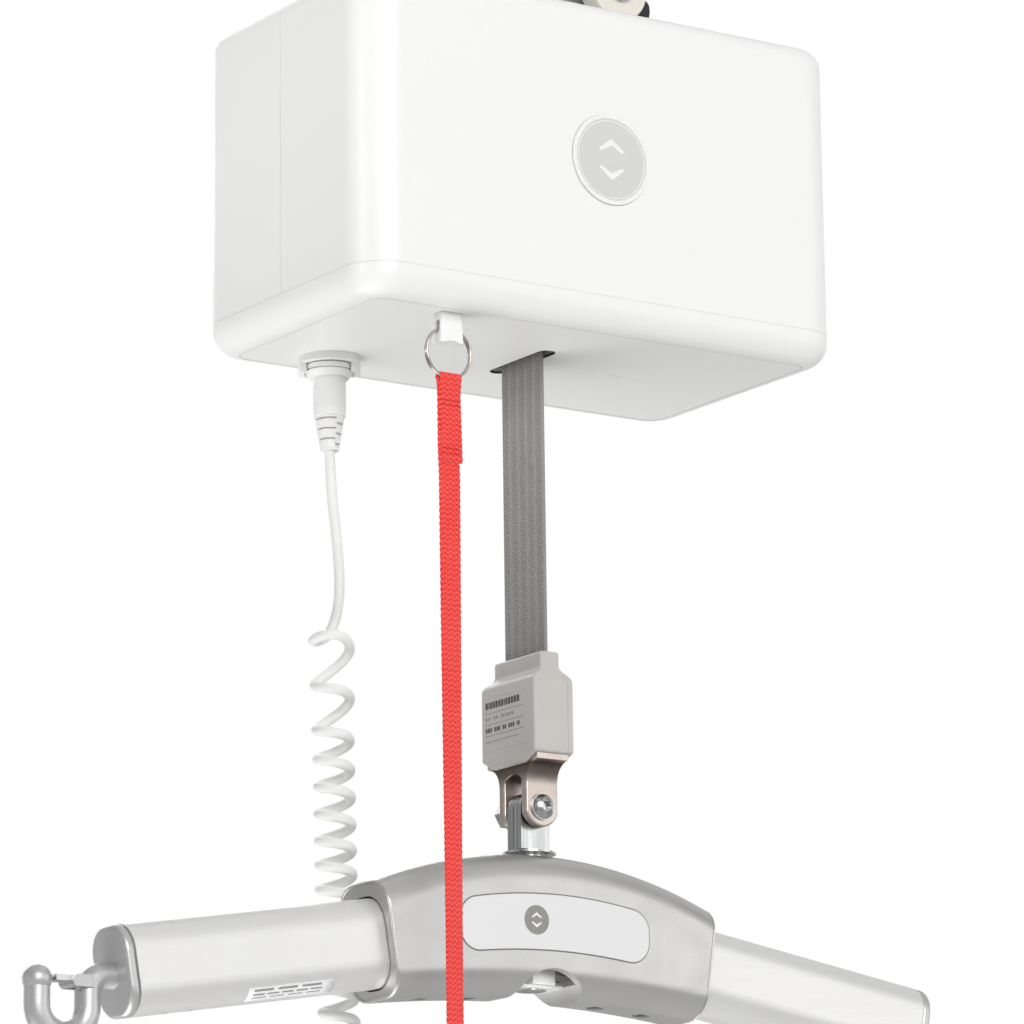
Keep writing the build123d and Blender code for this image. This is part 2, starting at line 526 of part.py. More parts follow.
def swivel():
    eye = block(-TONGUE_HALF_X, TONGUE_HALF_X, -TONGUE_HALF_Y, TONGUE_HALF_Y, TONGUE_FOOT, BOLT_Z)
    eye += rod_y(TONGUE_HALF_X, -TONGUE_HALF_Y, TONGUE_HALF_Y, 0, BOLT_Z)
    eye += rod(STEM_R, STEM_END, TONGUE_FOOT)
    eye -= rod_y(BOLT_R + 0.08, -20, 20, 0, BOLT_Z)
    save("swivel_eye", eye)
    washer = ring(13, STEM_R, CORE_BOTTOM - 1.6, CORE_BOTTOM - 0.3)
    nut = hexagon_rod(24, CORE_BOTTOM - 14, CORE_BOTTOM - 1.6) - rod(STEM_R, CORE_BOTTOM - 20, CORE_BOTTOM)
    lock = block(-13, 13, -9.5, 9.5, CORE_BOTTOM - 15.6, CORE_BOTTOM - 14) - rod(STEM_R, STEM_END - 1, 0)
    save("swivel_nut", washer, nut, lock)
    save("swivel_clip", ring(14, STEM_R, low(-264.2), low(-263.2)))


# ---- spreader bar -----------------------------------------------------------------------------------
SCREW_X = (40.0, 69.0)


def arm_plane(distance):
    """Square to the right-hand arm, that far from the bar's middle along the arm."""
    direction = Vector(math.cos(ARM_DIP), 0, -math.sin(ARM_DIP))
    return Plane(origin=Vector(0, 0, ARM_ROOT_Z) + direction * distance, x_dir=(0, 1, 0),
                 z_dir=direction)


def arm_prism(depth, height, corner, start, end):
    return extrude(arm_plane(start) * RectangleRounded(depth, height, corner), end - start)


def tube_plug(start, end):
    """What fits inside the arm's tube."""
    inset = TUBE_WALL + SPIGOT_CLEAR
    return arm_prism(TUBE_DEPTH - 2 * inset, TUBE_HEIGHT - 2 * inset, TUBE_ROUND - inset, start, end)


def hub_bottom_at(x):
    return HUB_BOTTOM - x * x / 1390


def screw_holes(radius):
    """Both sides' screw holes, from below the hub up into the core."""
    holes = None
    for x in [s * x for x in SCREW_X for s in (-1, 1)]:
        hole = rod(radius, hub_bottom_at(x) - 2, ARM_ROOT_Z - 17, x, 0)
        holes = hole if holes is None else holes + hole
    return holes


def bar():
    top_corner, bottom_corner = low(-286.8), low(-346.7)
    crown = ThreePointArc((-HUB_TOP_HALF, top_corner), (0, HUB_TOP), (HUB_TOP_HALF, top_corner))
    right_end = Line((HUB_TOP_HALF, top_corner), (HUB_FOOT_HALF, bottom_corner))
    belly = ThreePointArc((HUB_FOOT_HALF, bottom_corner), (0, HUB_BOTTOM), (-HUB_FOOT_HALF, bottom_corner))
    left_end = Line((-HUB_FOOT_HALF, bottom_corner), (-HUB_TOP_HALF, top_corner))
    hub = extrude(Plane.XZ * make_face(crown + right_end + belly + left_end), HUB_HALF_DEPTH, both=True)
    long_edges = [e for e in hub.edges() if e.geom_type == GeomType.CIRCLE]
    hub = fillet(long_edges, HUB_ROUND)
    hub = fillet(hub.faces().sort_by(Axis.X)[0].edges() + hub.faces().sort_by(Axis.X)[-1].edges(), 1.6)
    channel = arm_prism(TUBE_DEPTH + 2, TUBE_HEIGHT + 2, TUBE_ROUND + 1, 20, 130)
    hub -= channel
    hub -= mirrored(channel)
    hub -= block(-24.5, 24.5, -17.3, 17.3, low(-330), low(-275.5))
    hub -= rod_y(22, -40, 40, 0, low(-348))                     # the arch over the swivel nut
    hub -= block(-16, 16, -17.3, 17.3, low(-345), low(-320))
    hub -= rod(10.5, low(-280), low(-260))
    hub -= badge_shape(0.25, HUB_HALF_DEPTH - 0.9, HUB_HALF_DEPTH + 2)
    for x in [s * x for x in SCREW_X for s in (-1, 1)]:
        hub -= rod(4.6, hub_bottom_at(x) - 3, hub_bottom_at(x) + 3.2, x, 0)
    hub -= screw_holes(2.6)
    save("bar_hub", hub)
    save("badge_plate", badge_shape(0, HUB_HALF_DEPTH - 0.85, HUB_HALF_DEPTH + 0.5))

    core = block(-22, 22, -16.8, 16.8, CORE_BOTTOM, low(-276))
    spigot = tube_plug(10, 78)
    core += spigot
    core += mirrored(spigot)
    core -= rod(STEM_R + 0.08, low(-340), low(-270))
    core -= rod(15, CORE_BOTTOM - 12, CORE_BOTTOM)              # room for the nut
    save("bar_core", core - screw_holes(2.55))

    tube_solid = arm_prism(TUBE_DEPTH, TUBE_HEIGHT, TUBE_ROUND, TUBE_START, TUBE_END)
    tube_solid -= arm_prism(TUBE_DEPTH - 2 * TUBE_WALL, TUBE_HEIGHT - 2 * TUBE_WALL,
                            TUBE_ROUND - TUBE_WALL, TUBE_START - 1, TUBE_END + 1)
    tube_solid -= screw_holes(2.6)
    for x in (205, 219):                                        # end fitting's screws
        tube_solid -= rod(2.2, low(-375), low(-345), x, 0)
    save("bar_tubes", tube_solid, mirrored(tube_solid))

    screws = []
    for x in [s * x for x in SCREW_X for s in (-1, 1)]:
        seat = hub_bottom_at(x) + 3.2
        screw = rod(4.3, seat - 2.6, seat, x, 0) + rod(2.5, seat, seat + 18, x, 0)
        screws.append(screw - extrude(Pos(x, 0, seat - 3) * RegularPolygon(2, 6, major_radius=False), 2))
    save("hub_screws", *screws)


BADGE_HALF = 58.5


def badge_shape(gap, back, front):
    """The inset plate on the hub's front: both long edges follow the hub's arch."""
    half = BADGE_HALF + gap
    top, bottom = low(-288.3) + gap, low(-316.8) - gap
    sag_top, sag_bottom = 6.2, 4.6
    outline = ThreePointArc((-half, top - sag_top), (0, top), (half, top - sag_top))
    outline += Line((half, top - sag_top), (half, bottom - sag_bottom))
    outline += ThreePointArc((half, bottom - sag_bottom), (0, bottom), (-half, bottom - sag_bottom))
    outline += Line((-half, bottom - sag_bottom), (-half, top - sag_top))
    plate = extrude(Plane.XZ.offset(back) * make_face(outline), front - back)
    return fillet(edges_along_y(plate), 11)


# ---- end hooks and latches ------------------------------------------------------------------------
HOOK_R = 6.5
HOOK_NECK, HOOK_MOUTH, HOOK_DROP = 13.0, 28.0, 32.0
LATCH_X, LATCH_DZ = 22.0, -6.0
PIN_R = 1.5


def hook_end():
    """The right-hand end of the bar: point on the arm's axis at the outside of the end cap."""
    return arm_plane(TUBE_END + 6).origin


def hooks():
    end = hook_end()
    cap = arm_prism(TUBE_DEPTH, TUBE_HEIGHT, TUBE_ROUND, TUBE_END, TUBE_END + 6)
    cap = fillet(cap.faces().sort_by(Axis.X)[-1].edges(), 2.5)
    spigot = tube_plug(TUBE_END - 50, TUBE_END)
    neck_x, tip_x = end.X + HOOK_NECK, end.X + HOOK_NECK + HOOK_MOUTH
    low_z = end.Z - HOOK_DROP
    path = FilletPolyline((end.X - 4, 0, end.Z - 2), (neck_x, 0, end.Z - 2), (neck_x, 0, low_z),
                          (tip_x, 0, low_z), (tip_x, 0, end.Z - 6), radius=[9, 13.9, 13.9])
    bow = sweep(Plane(origin=path @ 0, z_dir=path % 0) * Circle(HOOK_R), path=path)
    pivot_x, pivot_z = end.X + LATCH_X, end.Z + LATCH_DZ
    hook = cap + spigot + bow + Pos(tip_x, 0, end.Z - 6) * Sphere(HOOK_R + 0.9)
    for side in (-1, 1):
        lug = block(neck_x, pivot_x, side * 6.4 - 1.1, side * 6.4 + 1.1, pivot_z - 3, pivot_z + 3)
        hook += lug + rod_y(3, side * 6.4 - 1.1, side * 6.4 + 1.1, pivot_x, pivot_z)
    pin = rod_y(PIN_R, -7.5, 7.5, pivot_x, pivot_z)
    hook -= rod_y(3.4, -5.2, 5.2, pivot_x, pivot_z)
    hook += pin
    for x in (205, 219):
        hook -= rod(2.2, low(-375), low(-345), x, 0)
    save("end_hooks", hook, mirrored(hook))

    latch = rod_y(3, -5, 5, pivot_x, pivot_z)
    latch += block(pivot_x, end.X + 33.0, -5, 5, pivot_z - 0.2, pivot_z + 2.6)
    latch -= rod_y(PIN_R + RUN, -6, 6, pivot_x, pivot_z)
    save("latch_right", latch)
    save("latch_left", mirrored(latch))


# ---- trolley ------------------------------------------------------------------------------------------
def trolley():
    frame = block(-FRAME_HALF_X, FRAME_HALF_X, -FRAME_HALF_Y, FRAME_HALF_Y, 4, 32)
    frame = fillet(edges_along_y(frame), 6)
    frame = chamfer(frame.faces().sort_by(Axis.Y)[0].edges() + frame.faces().sort_by(Axis.Y)[-1].edges(), 1)
    frame -= rod(HANGER_BOLT_R + 0.3, 0, 40)
    bearings = []
    for x in (-AXLE_X, AXLE_X):
        frame -= rod_y(AXLE_R + 1.5, -20, 20, x, WHEEL_R)
        for side in (-1, 1):
            y0, y1 = sorted((side * 2.0, side * FRAME_HALF_Y))
            frame -= rod_y(BEARING_R, y0, y1, x, WHEEL_R)
            bearings.append(ring_y(BEARING_R, AXLE_R + RUN, y0, y1, x, WHEEL_R))
    save("trolley_frame", frame)
    save("axle_bearings", *bearings)
    for name, x in (("front", AXLE_X), ("rear", -AXLE_X)):
        axle = rod_y(AXLE_R, -36, 36, x, WHEEL_R)
        wheels = []
        for side in (-1, 1):
            inner, outer = side * (WHEEL_Y - WHEEL_WIDTH / 2), side * (WHEEL_Y + WHEEL_WIDTH / 2)
            axle += rod_y(AXLE_R + 2, *sorted((side * (FRAME_HALF_Y + 0.4), inner)), x, WHEEL_R)
            axle += rod_y(AXLE_R + 3, *sorted((outer, outer + side * 2.5)), x, WHEEL_R)
            wheel = ring_y(WHEEL_R, AXLE_R, *sorted((inner, outer)), x, WHEEL_R)
            rims = [e for e in wheel.edges().filter_by(GeomType.CIRCLE) if abs(e.radius - WHEEL_R) < 0.01]
            wheels.append(fillet(rims, 1.2))
        save(f"{name}_axle", axle)
        save(f"{name}_wheels", *wheels)
    buffers = []
    for side in (-1, 1):
        x0, x1 = sorted((side * FRAME_HALF_X, side * (FRAME_HALF_X + 12)))
        buffers.append(rod_x(8, x0, x1, 0, WHEEL_R))
    save("trolley_buffers", *buffers)
    bolt = hexagon_rod(24, 32, 42) + rod(HANGER_BOLT_R, HANGER_BOTTOM - 18, 32)
    nut = hexagon_rod(24, HANGER_BOTTOM - 13, HANGER_BOTTOM) - rod(HANGER_BOLT_R, -100, 0)
    save("hanger_bolt", bolt, nut)


for build in (casing, chassis, drive, electrics, cord, handset, pull, strap_and_coupling, clevis,
              swivel, bar, hooks, trolley):
    build()
print(len(saved), "nodes")
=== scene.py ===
import json
import math

import bmesh
import bpy
from mathutils import Matrix, Vector


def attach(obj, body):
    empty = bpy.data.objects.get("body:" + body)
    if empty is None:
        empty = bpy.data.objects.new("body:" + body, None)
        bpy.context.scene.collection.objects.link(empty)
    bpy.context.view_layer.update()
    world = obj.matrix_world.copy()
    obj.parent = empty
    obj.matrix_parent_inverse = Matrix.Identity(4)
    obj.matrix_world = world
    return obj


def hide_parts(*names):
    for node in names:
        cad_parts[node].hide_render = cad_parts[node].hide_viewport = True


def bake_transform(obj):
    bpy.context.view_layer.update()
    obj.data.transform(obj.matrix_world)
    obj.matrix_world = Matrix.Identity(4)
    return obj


# Ceiling patient lift hoist. Metres; origin on the plane that the trolley's wheels roll on,
# +X along the rail, +Y to the rear, +Z up.

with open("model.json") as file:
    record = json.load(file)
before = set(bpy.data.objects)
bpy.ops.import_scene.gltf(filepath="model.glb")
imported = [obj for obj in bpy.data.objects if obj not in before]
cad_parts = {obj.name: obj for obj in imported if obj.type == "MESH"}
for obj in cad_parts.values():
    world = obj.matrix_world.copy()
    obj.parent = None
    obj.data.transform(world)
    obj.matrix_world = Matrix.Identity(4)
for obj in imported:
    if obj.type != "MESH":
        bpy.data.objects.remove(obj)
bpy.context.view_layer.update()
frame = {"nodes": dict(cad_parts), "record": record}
record = frame["record"]
nodes = frame["nodes"]
scene = bpy.context.scene

MM = 0.001
CASE_BOTTOM = -189.5       # underside of the casing, in millimetres


def low(z):
    """Millimetres from the casing's underside, as millimetres in the row frame."""
    return CASE_BOTTOM + z


def mm(x, y, z):
    return Vector((x, y, z)) * MM


# ---- camera ---------------------------------------------------------------------------------------
CAMERA_AT = mm(-1505.17, -2206.2, -884.2)
YAW, PITCH, ROLL = math.radians(55.837), math.radians(12.932), math.radians(-0.753)

forward = Vector((math.cos(YAW) * math.cos(PITCH), math.sin(YAW) * math.cos(PITCH), math.sin(PITCH)))
level_right = Vector((math.sin(YAW), -math.cos(YAW), 0))
level_up = level_right.cross(forward)
right = level_right * math.cos(ROLL) + level_up * math.sin(ROLL)
up = level_up * math.cos(ROLL) - level_right * math.sin(ROLL)

camera = bpy.data.objects.new("camera", bpy.data.cameras.new("camera"))
camera.data.sensor_width = 36
camera.data.lens = 182.9
camera.data.clip_start = 0.05
camera.data.clip_end = 100
camera.matrix_world = Matrix.Translation(CAMERA_AT) @ Matrix((right, up, -forward)).transposed().to_4x4()
scene.collection.objects.link(camera)
scene.camera = camera


# ---- node helpers ---------------------------------------------------------------------------------
class NodeTree:
    """A node tree, with the few nodes that the materials and the world are made from."""

    def __init__(self, owner, coordinates):
        owner.use_nodes = True
        self.tree = owner.node_tree
        self.place = self.tree.nodes.new("ShaderNodeTexCoord").outputs[coordinates]

    def join(self, source, target):
        self.tree.links.new(source, target)

    def math(self, operation, a, b=None):
        node = self.tree.nodes.new("ShaderNodeMath")
        node.operation = operation
        for slot, value in zip(node.inputs, (a, b)):
            if value is None:
                continue
            if isinstance(value, (int, float)):
                slot.default_value = value
            else:
                self.join(value, slot)
        return node.outputs[0]

    def axis(self, letter):
        node = self.tree.nodes.new("ShaderNodeSeparateXYZ")
        self.join(self.place, node.inputs[0])
        return node.outputs[letter]

    def ramp(self, value, *stops):
        node = self.tree.nodes.new("ShaderNodeValToRGB")
        elements = node.color_ramp.elements
        while len(elements) < len(stops):
            elements.new(0.5)
        for element, (position, colour) in zip(elements, stops):
            element.position = position
            element.color = (*colour, 1.0)
        self.join(value, node.inputs["Fac"])
        return node.outputs["Color"]

    def spread(self, value, lowest, highest, from_low=0.3, from_high=0.7):
        """The value, taken from one range to another and held inside it."""
        node = self.tree.nodes.new("ShaderNodeMapRange")
        node.inputs["From Min"].default_value = from_low
        node.inputs["From Max"].default_value = from_high
        node.inputs["To Min"].default_value = lowest
        node.inputs["To Max"].default_value = highest
        self.join(value, node.inputs["Value"])
        return node.outputs["Result"]

    def camera_ray(self):
        return self.tree.nodes.new("ShaderNodeLightPath").outputs["Is Camera Ray"]


class Shader(NodeTree):
    """A material with its principled shader."""

    def __init__(self, name):
        self.material = bpy.data.materials.new(name)
        super().__init__(self.material, "Object")
        self.bsdf = self.tree.nodes["Principled BSDF"]

    def set(self, **values):
        for name, value in values.items():
            self.bsdf.inputs[name.replace("_", " ")].default_value = value

    def stretched(self, scale):
        node = self.tree.nodes.new("ShaderNodeMapping")
        node.inputs["Scale"].default_value = scale
        self.join(self.place, node.inputs["Vector"])
        return node.outputs["Vector"]

    def noise(self, scale, detail=3.0, rough=0.5, vector=None):
        node = self.tree.nodes.new("ShaderNodeTexNoise")
        node.inputs["Scale"].default_value = scale
        node.inputs["Detail"].default_value = detail
        node.inputs["Roughness"].default_value = rough
        self.join(vector or self.place, node.inputs["Vector"])
        return node.outputs["Fac"]

    def cells(self, scale):
        node = self.tree.nodes.new("ShaderNodeTexVoronoi")
        node.inputs["Scale"].default_value = scale
        self.join(self.place, node.inputs["Vector"])
        return node.outputs["Distance"]

    def times(self, one, other):
        node = self.tree.nodes.new("ShaderNodeVectorMath")
        node.operation = "MULTIPLY"
        self.join(one, node.inputs[0])
        self.join(other, node.inputs[1])
        return node.outputs["Vector"]

    def bump(self, height, distance, strength, under=None):
        node = self.tree.nodes.new("ShaderNodeBump")
        node.inputs["Distance"].default_value = distance
        node.inputs["Strength"].default_value = strength
        self.join(height, node.inputs["Height"])
        if under is not None:
            self.join(under, node.inputs["Normal"])
        return node.outputs["Normal"]

    def colour(self, socket):
        self.join(socket, self.bsdf.inputs["Base Color"])

    def roughness(self, socket):
        self.join(socket, self.bsdf.inputs["Roughness"])

    def normal(self, socket):
        self.join(socket, self.bsdf.inputs["Normal"])


def shade(colour, factor):
    return tuple(min(1.0, c * factor) for c in colour)


def moulded(name, colour, rough, contrast=0.03, coat=0.0):
    """Moulded plastic: fine spark-eroded grain, slow flow marks, slightly uneven gloss."""
    s = Shader(name)
    flow = s.noise(9.0, 4.0, 0.55, s.stretched((1.0, 1.0, 2.4)))
    s.colour(s.ramp(flow, (0.3, shade(colour, 1 - contrast)), (0.7, shade(colour, 1 + contrast * 0.4))))
    s.roughness(s.spread(s.noise(60.0, 3.0, 0.6), rough - 0.05, rough + 0.05))
    s.normal(s.bump(s.noise(1400.0, 2.0, 0.6), 0.00003, 0.45))
    s.set(Specular_IOR_Level=0.4, Coat_Weight=coat, Coat_Roughness=0.25)
    return s.material


def painted(name, colour, rough, metal):
    """Silver lacquer over a casting: fine metallic flake and a light orange peel."""
    s = Shader(name)
    fleck = s.noise(2600.0, 2.0, 0.7)
    s.colour(s.ramp(fleck, (0.32, shade(colour, 0.94)), (0.68, shade(colour, 1.06))))
    s.roughness(s.spread(s.noise(45.0, 4.0, 0.6), rough - 0.05, rough + 0.06))
    peel = s.bump(s.noise(420.0, 2.0, 0.5), 0.00004, 0.35)
    s.normal(s.bump(fleck, 0.00002, 0.3, peel))
    s.set(Metallic=metal, Specular_IOR_Level=0.5, Coat_Weight=0.15, Coat_Roughness=0.35)
    return s.material


def brushed(name, colour, rough, stretch, metal=1.0, contrast=0.08, depth=0.00003):
    """Drawn or turned metal: long fine lines across the stretched directions."""
    s = Shader(name)
    lines = s.noise(1.0, 3.0, 0.65, s.stretched(stretch))
    s.colour(s.ramp(lines, (0.3, shade(colour, 1 - contrast)), (0.7, shade(colour, 1 + contrast))))
    s.roughness(s.spread(lines, rough - 0.07, rough + 0.08))
    s.normal(s.bump(lines, depth, 0.5))
    s.set(Metallic=metal)
    return s.material


def cast(name, colour, rough, metal):
    """An investment casting: cloudy tone, fine pitting, and painted shade that darkens the neck below its
    flange.
    """
    s = Shader(name)
    cloud = s.noise(70.0, 5.0, 0.6)
    tone = s.ramp(cloud, (0.28, shade(colour, 0.78)), (0.5, colour), (0.74, shade(colour, 1.2)))
    # painted shade: a band of darker colour down the neck below the flange, standing in for the shade and
    # dark reflections there
    down = s.spread(s.axis("Z"), 0.0, 1.0, low(-214) * MM, low(-254) * MM)
    neck_painted_shade = s.ramp(down, (0.0, (1.0, 1.0, 1.0)), (0.08, (0.95, 0.95, 0.95)), (0.11, (0.2, 0.18, 0.165)),
                    (0.22, (0.3, 0.28, 0.265)), (0.38, (0.85, 0.84, 0.83)), (1.0, (1.0, 1.0, 1.0)))
    s.colour(s.times(tone, neck_painted_shade))
    skin = s.math("ADD", s.noise(700.0, 4.0, 0.65), s.math("MULTIPLY", s.cells(490.0), 0.35))
    s.roughness(s.spread(cloud, rough - 0.06, rough + 0.1))
    s.normal(s.bump(skin, 0.00012, 0.5))
    s.set(Metallic=metal, Specular_Tint=(0.4, 0.37, 0.35, 1.0))
    return s.material


def sheath(name, colour, rough):
    """Soft cable sheath: matte, with slight handling marks."""
    s = Shader(name)
    mark = s.noise(35.0, 4.0, 0.6)
    s.colour(s.ramp(mark, (0.25, shade(colour, 0.95)), (0.6, colour), (0.8, shade(colour, 1.03))))
    s.roughness(s.spread(s.noise(220.0), rough - 0.06, rough + 0.06))
    s.normal(s.bump(s.noise(1800.0, 2.0, 0.6), 0.00003, 0.4))
    s.set(Specular_IOR_Level=0.35, Subsurface_Weight=0.04, Subsurface_Scale=0.002)
    return s.material


def webbing(name, tones, across, rib, pick, band, brick, sheen):
    """Woven webbing. tones run from the gaps to the floats, and the picks fill a band of each rib's width."""
    s = Shader(name)
    ribs = s.math("ADD", s.math("MULTIPLY", s.axis(across), 1.0 / rib), 0.5)
    peak = s.math("ABSOLUTE", s.math("SUBTRACT", s.math("FRACT", ribs), 0.5))
    parity = s.math("FRACT", s.math("MULTIPLY", s.math("FLOOR", ribs), 0.5))
    phase = s.math("ADD", s.math("MULTIPLY", s.axis("Z"), 2 * math.pi / pick), s.math("MULTIPLY", peak, 2.2))
    phase = s.math("ADD", phase, s.math("MULTIPLY", parity, 2 * math.pi * brick))
    weave = s.math("ADD", s.math("MULTIPLY", s.math("SINE", phase), 0.5), 0.5)
    woven = s.spread(peak, 1.0, 0.0, band - 0.06, band + 0.04)
    picks = s.math("ADD", s.math("MULTIPLY", s.math("MULTIPLY", weave, woven), 0.75),
                   s.math("MULTIPLY", s.math("SUBTRACT", 1.0, woven), 0.42))
    fibre = s.noise(2600.0, 3.0, 0.7, s.stretched((1.0, 1.0, 0.35)))
    worn = s.noise(55.0, 4.0, 0.6)
    tone = s.math("ADD", picks, s.math("MULTIPLY", fibre, 0.3))
    tone = s.math("ADD", tone, s.math("MULTIPLY", worn, 0.15))
    s.colour(s.ramp(tone, (0.2, tones[0]), (0.55, tones[1]), (0.95, tones[2])))
    s.normal(s.bump(s.math("ADD", picks, s.math("MULTIPLY", fibre, 0.3)), 0.0003, 0.8))
    s.roughness(s.spread(fibre, 0.7, 0.9))
    s.set(Specular_IOR_Level=0.25, Sheen_Weight=sheen, Sheen_Roughness=0.5)
    return s.material


def printed(name, colour, rough=0.5):
    """Printed or in-moulded marking with slightly uneven ink."""
    s = Shader(name)
    ink = s.noise(900.0, 3.0, 0.6)
    s.colour(s.ramp(ink, (0.3, shade(colour, 0.88)), (0.7, shade(colour, 1.06))))
    s.roughness(s.spread(ink, rough - 0.05, rough + 0.08))
    s.normal(s.bump(ink, 0.00001, 0.3))
    return s.material


MATERIALS = {
    "casing_white": moulded("casing_white", (0.885, 0.883, 0.878), 0.36, contrast=0.008, coat=0.12),
    "emblem_grey": moulded("emblem_grey", (0.66, 0.66, 0.65), 0.45, contrast=0.02),
    "plate_steel": brushed("plate_steel", (0.6, 0.61, 0.62), 0.38, (260.0, 40.0, 900.0)),
    "bright_steel": brushed("bright_steel", (0.52, 0.53, 0.525), 0.24, (420.0, 420.0, 16.0), contrast=0.3),
    "machined_aluminium": brushed("machined_aluminium", (0.72, 0.72, 0.73), 0.32, (60.0, 900.0, 900.0)),
    "dark_plastic": moulded("dark_plastic", (0.035, 0.035, 0.038), 0.5, contrast=0.2),
    "motor_black": painted("motor_black", (0.03, 0.03, 0.033), 0.42, 0.2),
    "board_green": moulded("board_green", (0.02, 0.16, 0.06), 0.35, contrast=0.25, coat=0.4),
    "buffer_rubber": sheath("buffer_rubber", (0.03, 0.03, 0.03), 0.75),
    "wheel_polymer": moulded("wheel_polymer", (0.78, 0.75, 0.68), 0.45, contrast=0.03),
    "cord_white": sheath("cord_white", (0.89, 0.89, 0.875), 0.5),
    "plug_white": moulded("plug_white", (0.9, 0.9, 0.89), 0.42, contrast=0.01),
    "handset_grey": moulded("handset_grey", (0.84, 0.84, 0.83), 0.45, contrast=0.015),
    "button_grey": moulded("button_grey", (0.11, 0.13, 0.16), 0.6, contrast=0.08),
    "strap_grey": webbing("strap_grey", ((0.085, 0.079, 0.076), (0.27, 0.26, 0.254), (0.42, 0.41, 0.4)),
                          across="Y", rib=0.0076, pick=0.00105, band=0.34, brick=0.0, sheen=0.2),
    "webbing_red": webbing("webbing_red", ((0.58, 0.012, 0.012), (0.86, 0.036, 0.034), (1.0, 0.17, 0.14)),
                           across="X", rib=0.0019, pick=0.0026, band=0.17, brick=0.5, sheen=0.15),
    "grip_red": moulded("grip_red", (0.78, 0.03, 0.02), 0.38, contrast=0.06, coat=0.2),
    "ring_nickel": brushed("ring_nickel", (0.5, 0.46, 0.42), 0.2, (300.0, 300.0, 300.0), contrast=0.1),
    "cover_grey": moulded("cover_grey", (0.55, 0.53, 0.51), 0.4, contrast=0.03),
    "clevis_cast": cast("clevis_cast", (0.66, 0.585, 0.535), 0.33, 0.85),
    "hub_silver": painted("hub_silver", (0.55, 0.545, 0.535), 0.36, 0.75),
    "badge_white": moulded("badge_white", (0.8, 0.8, 0.8), 0.4, contrast=0.01),
    "tube_anodised": brushed("tube_anodised", (0.79, 0.785, 0.775), 0.42, (9.0, 1500.0, 1500.0), metal=0.5,
                             contrast=0.02, depth=0.00001),
    "hook_silver": painted("hook_silver", (0.55, 0.555, 0.55), 0.38, 0.6),
    "latch_steel": brushed("latch_steel", (0.66, 0.66, 0.67), 0.28, (60.0, 700.0, 700.0)),
}
NUT_ZINC = brushed("nut_zinc", (0.9, 0.91, 0.9), 0.34, (90.0, 90.0, 300.0), metal=0.35, contrast=0.05)
INK_DARK = printed("ink_dark", (0.09, 0.085, 0.085))
INK_MID = printed("ink_mid", (0.3, 0.29, 0.28))
# painted shade: the grey of the line in the groove round the badge plate
GROOVE_SHADE_GREY = sheath("groove_shade_grey", (0.22, 0.215, 0.21), 0.6)
MARK_WHITE = printed("mark_white", (0.9, 0.9, 0.895), 0.42)
LABEL_WHITE = printed("label_white", (0.86, 0.87, 0.88), 0.35)
THREAD_RED = sheath("thread_red", (0.6, 0.02, 0.016), 0.7)

for entry in record["subparts"]:
    mesh = nodes[entry["node"]].data
    mesh.materials.clear()
    mesh.materials.append(MATERIALS[entry["material_slot"]])
nodes["swivel_nut"].data.materials[0] = NUT_ZINC


# ---- mesh helpers ---------------------------------------------------------------------------------
def add_mesh(name, vertices, faces, material, smooth=True):
    mesh = bpy.data.meshes.new(name)
    mesh.from_pydata([tuple(v) for v in vertices], [], faces)
    mesh.validate()
    work = bmesh.new()
    work.from_mesh(mesh)
    bmesh.ops.recalc_face_normals(work, faces=work.faces)
    work.to_mesh(mesh)
    work.free()
    mesh.materials.append(material)
    if smooth:
        mesh.shade_smooth()
    else:
        mesh.shade_flat()
    piece = bpy.data.objects.new(name, mesh)
    scene.collection.objects.link(piece)
    return piece


def lofted(name, rings, material, closed_ring=True, capped=True):
    """A skin through rings of the same number of points."""
    count = len(rings[0])
    vertices = [p for ring in rings for p in ring]
    faces = []
    for i in range(len(rings) - 1):
        for j in range(count if closed_ring else count - 1):
            k = (j + 1) % count
            faces.append((i * count + j, i * count + k, (i + 1) * count + k, (i + 1) * count + j))
    if capped:
        faces.append(tuple(range(count)))
        faces.append(tuple((len(rings) - 1) * count + j for j in reversed(range(count))))
    return add_mesh(name, vertices, faces, material)


def looped(name, rings, material):
    """A skin through rings whose last is the first again, joined there."""
    piece = lofted(name, rings, material, capped=False)
    weld = piece.modifiers.new("weld", "WELD")
    weld.merge_threshold = 0.01 * MM
    return piece


def sharpen(piece, degrees=35):
    piece.data.shade_smooth()
    piece.data.set_sharp_from_angle(angle=math.radians(degrees))


def bevel(piece, width):
    modifier = piece.modifiers.new("edge", "BEVEL")
    modifier.width = width
    modifier.segments = 2
    modifier.limit_method = "ANGLE"
    modifier.angle_limit = math.radians(40)
    modifier.harden_normals = True


class Face:
    """A flat place on the object: an origin, a direction to the right, one up, and one outwards."""

    def __init__(self, origin, across, upward):
        self.origin, self.across, self.upward = origin, across.normalized(), upward.normalized()
        self.out = self.across.cross(self.upward)

    def at(self, u, v, w=0.0):
        return self.origin + self.across * u * MM + self.upward * v * MM + self.out * w * MM


SUNK = 0.2                 # how far a raised mark goes into the face below it


def relief(name, face, outline, height, material, edge=0.0):
    """A raised shape of one outline in the face's own millimetres."""
    lower = [face.at(u, v, -SUNK) for u, v in outline]
    upper = [face.at(u, v, height) for u, v in outline]
    piece = lofted(name, [lower, upper], material)
    sharpen(piece)
    if edge:
        bevel(piece, edge * MM)
    return piece


def arc(cx, cy, radius, start, end, steps):
    angles = [math.radians(start + (end - start) * k / steps) for k in range(steps + 1)]
    return [(cx + radius * math.cos(a), cy + radius * math.sin(a)) for a in angles]


def rounded_outline(width, height, corner, cx=0.0, cy=0.0, steps=6):
    w, h = width / 2 - corner, height / 2 - corner
    points = []
    for sx, sy, start in ((1, 1, 0), (-1, 1, 90), (-1, -1, 180), (1, -1, 270)):
        points += arc(cx + sx * w, cy + sy * h, corner, start, start + 90, steps)
    return points


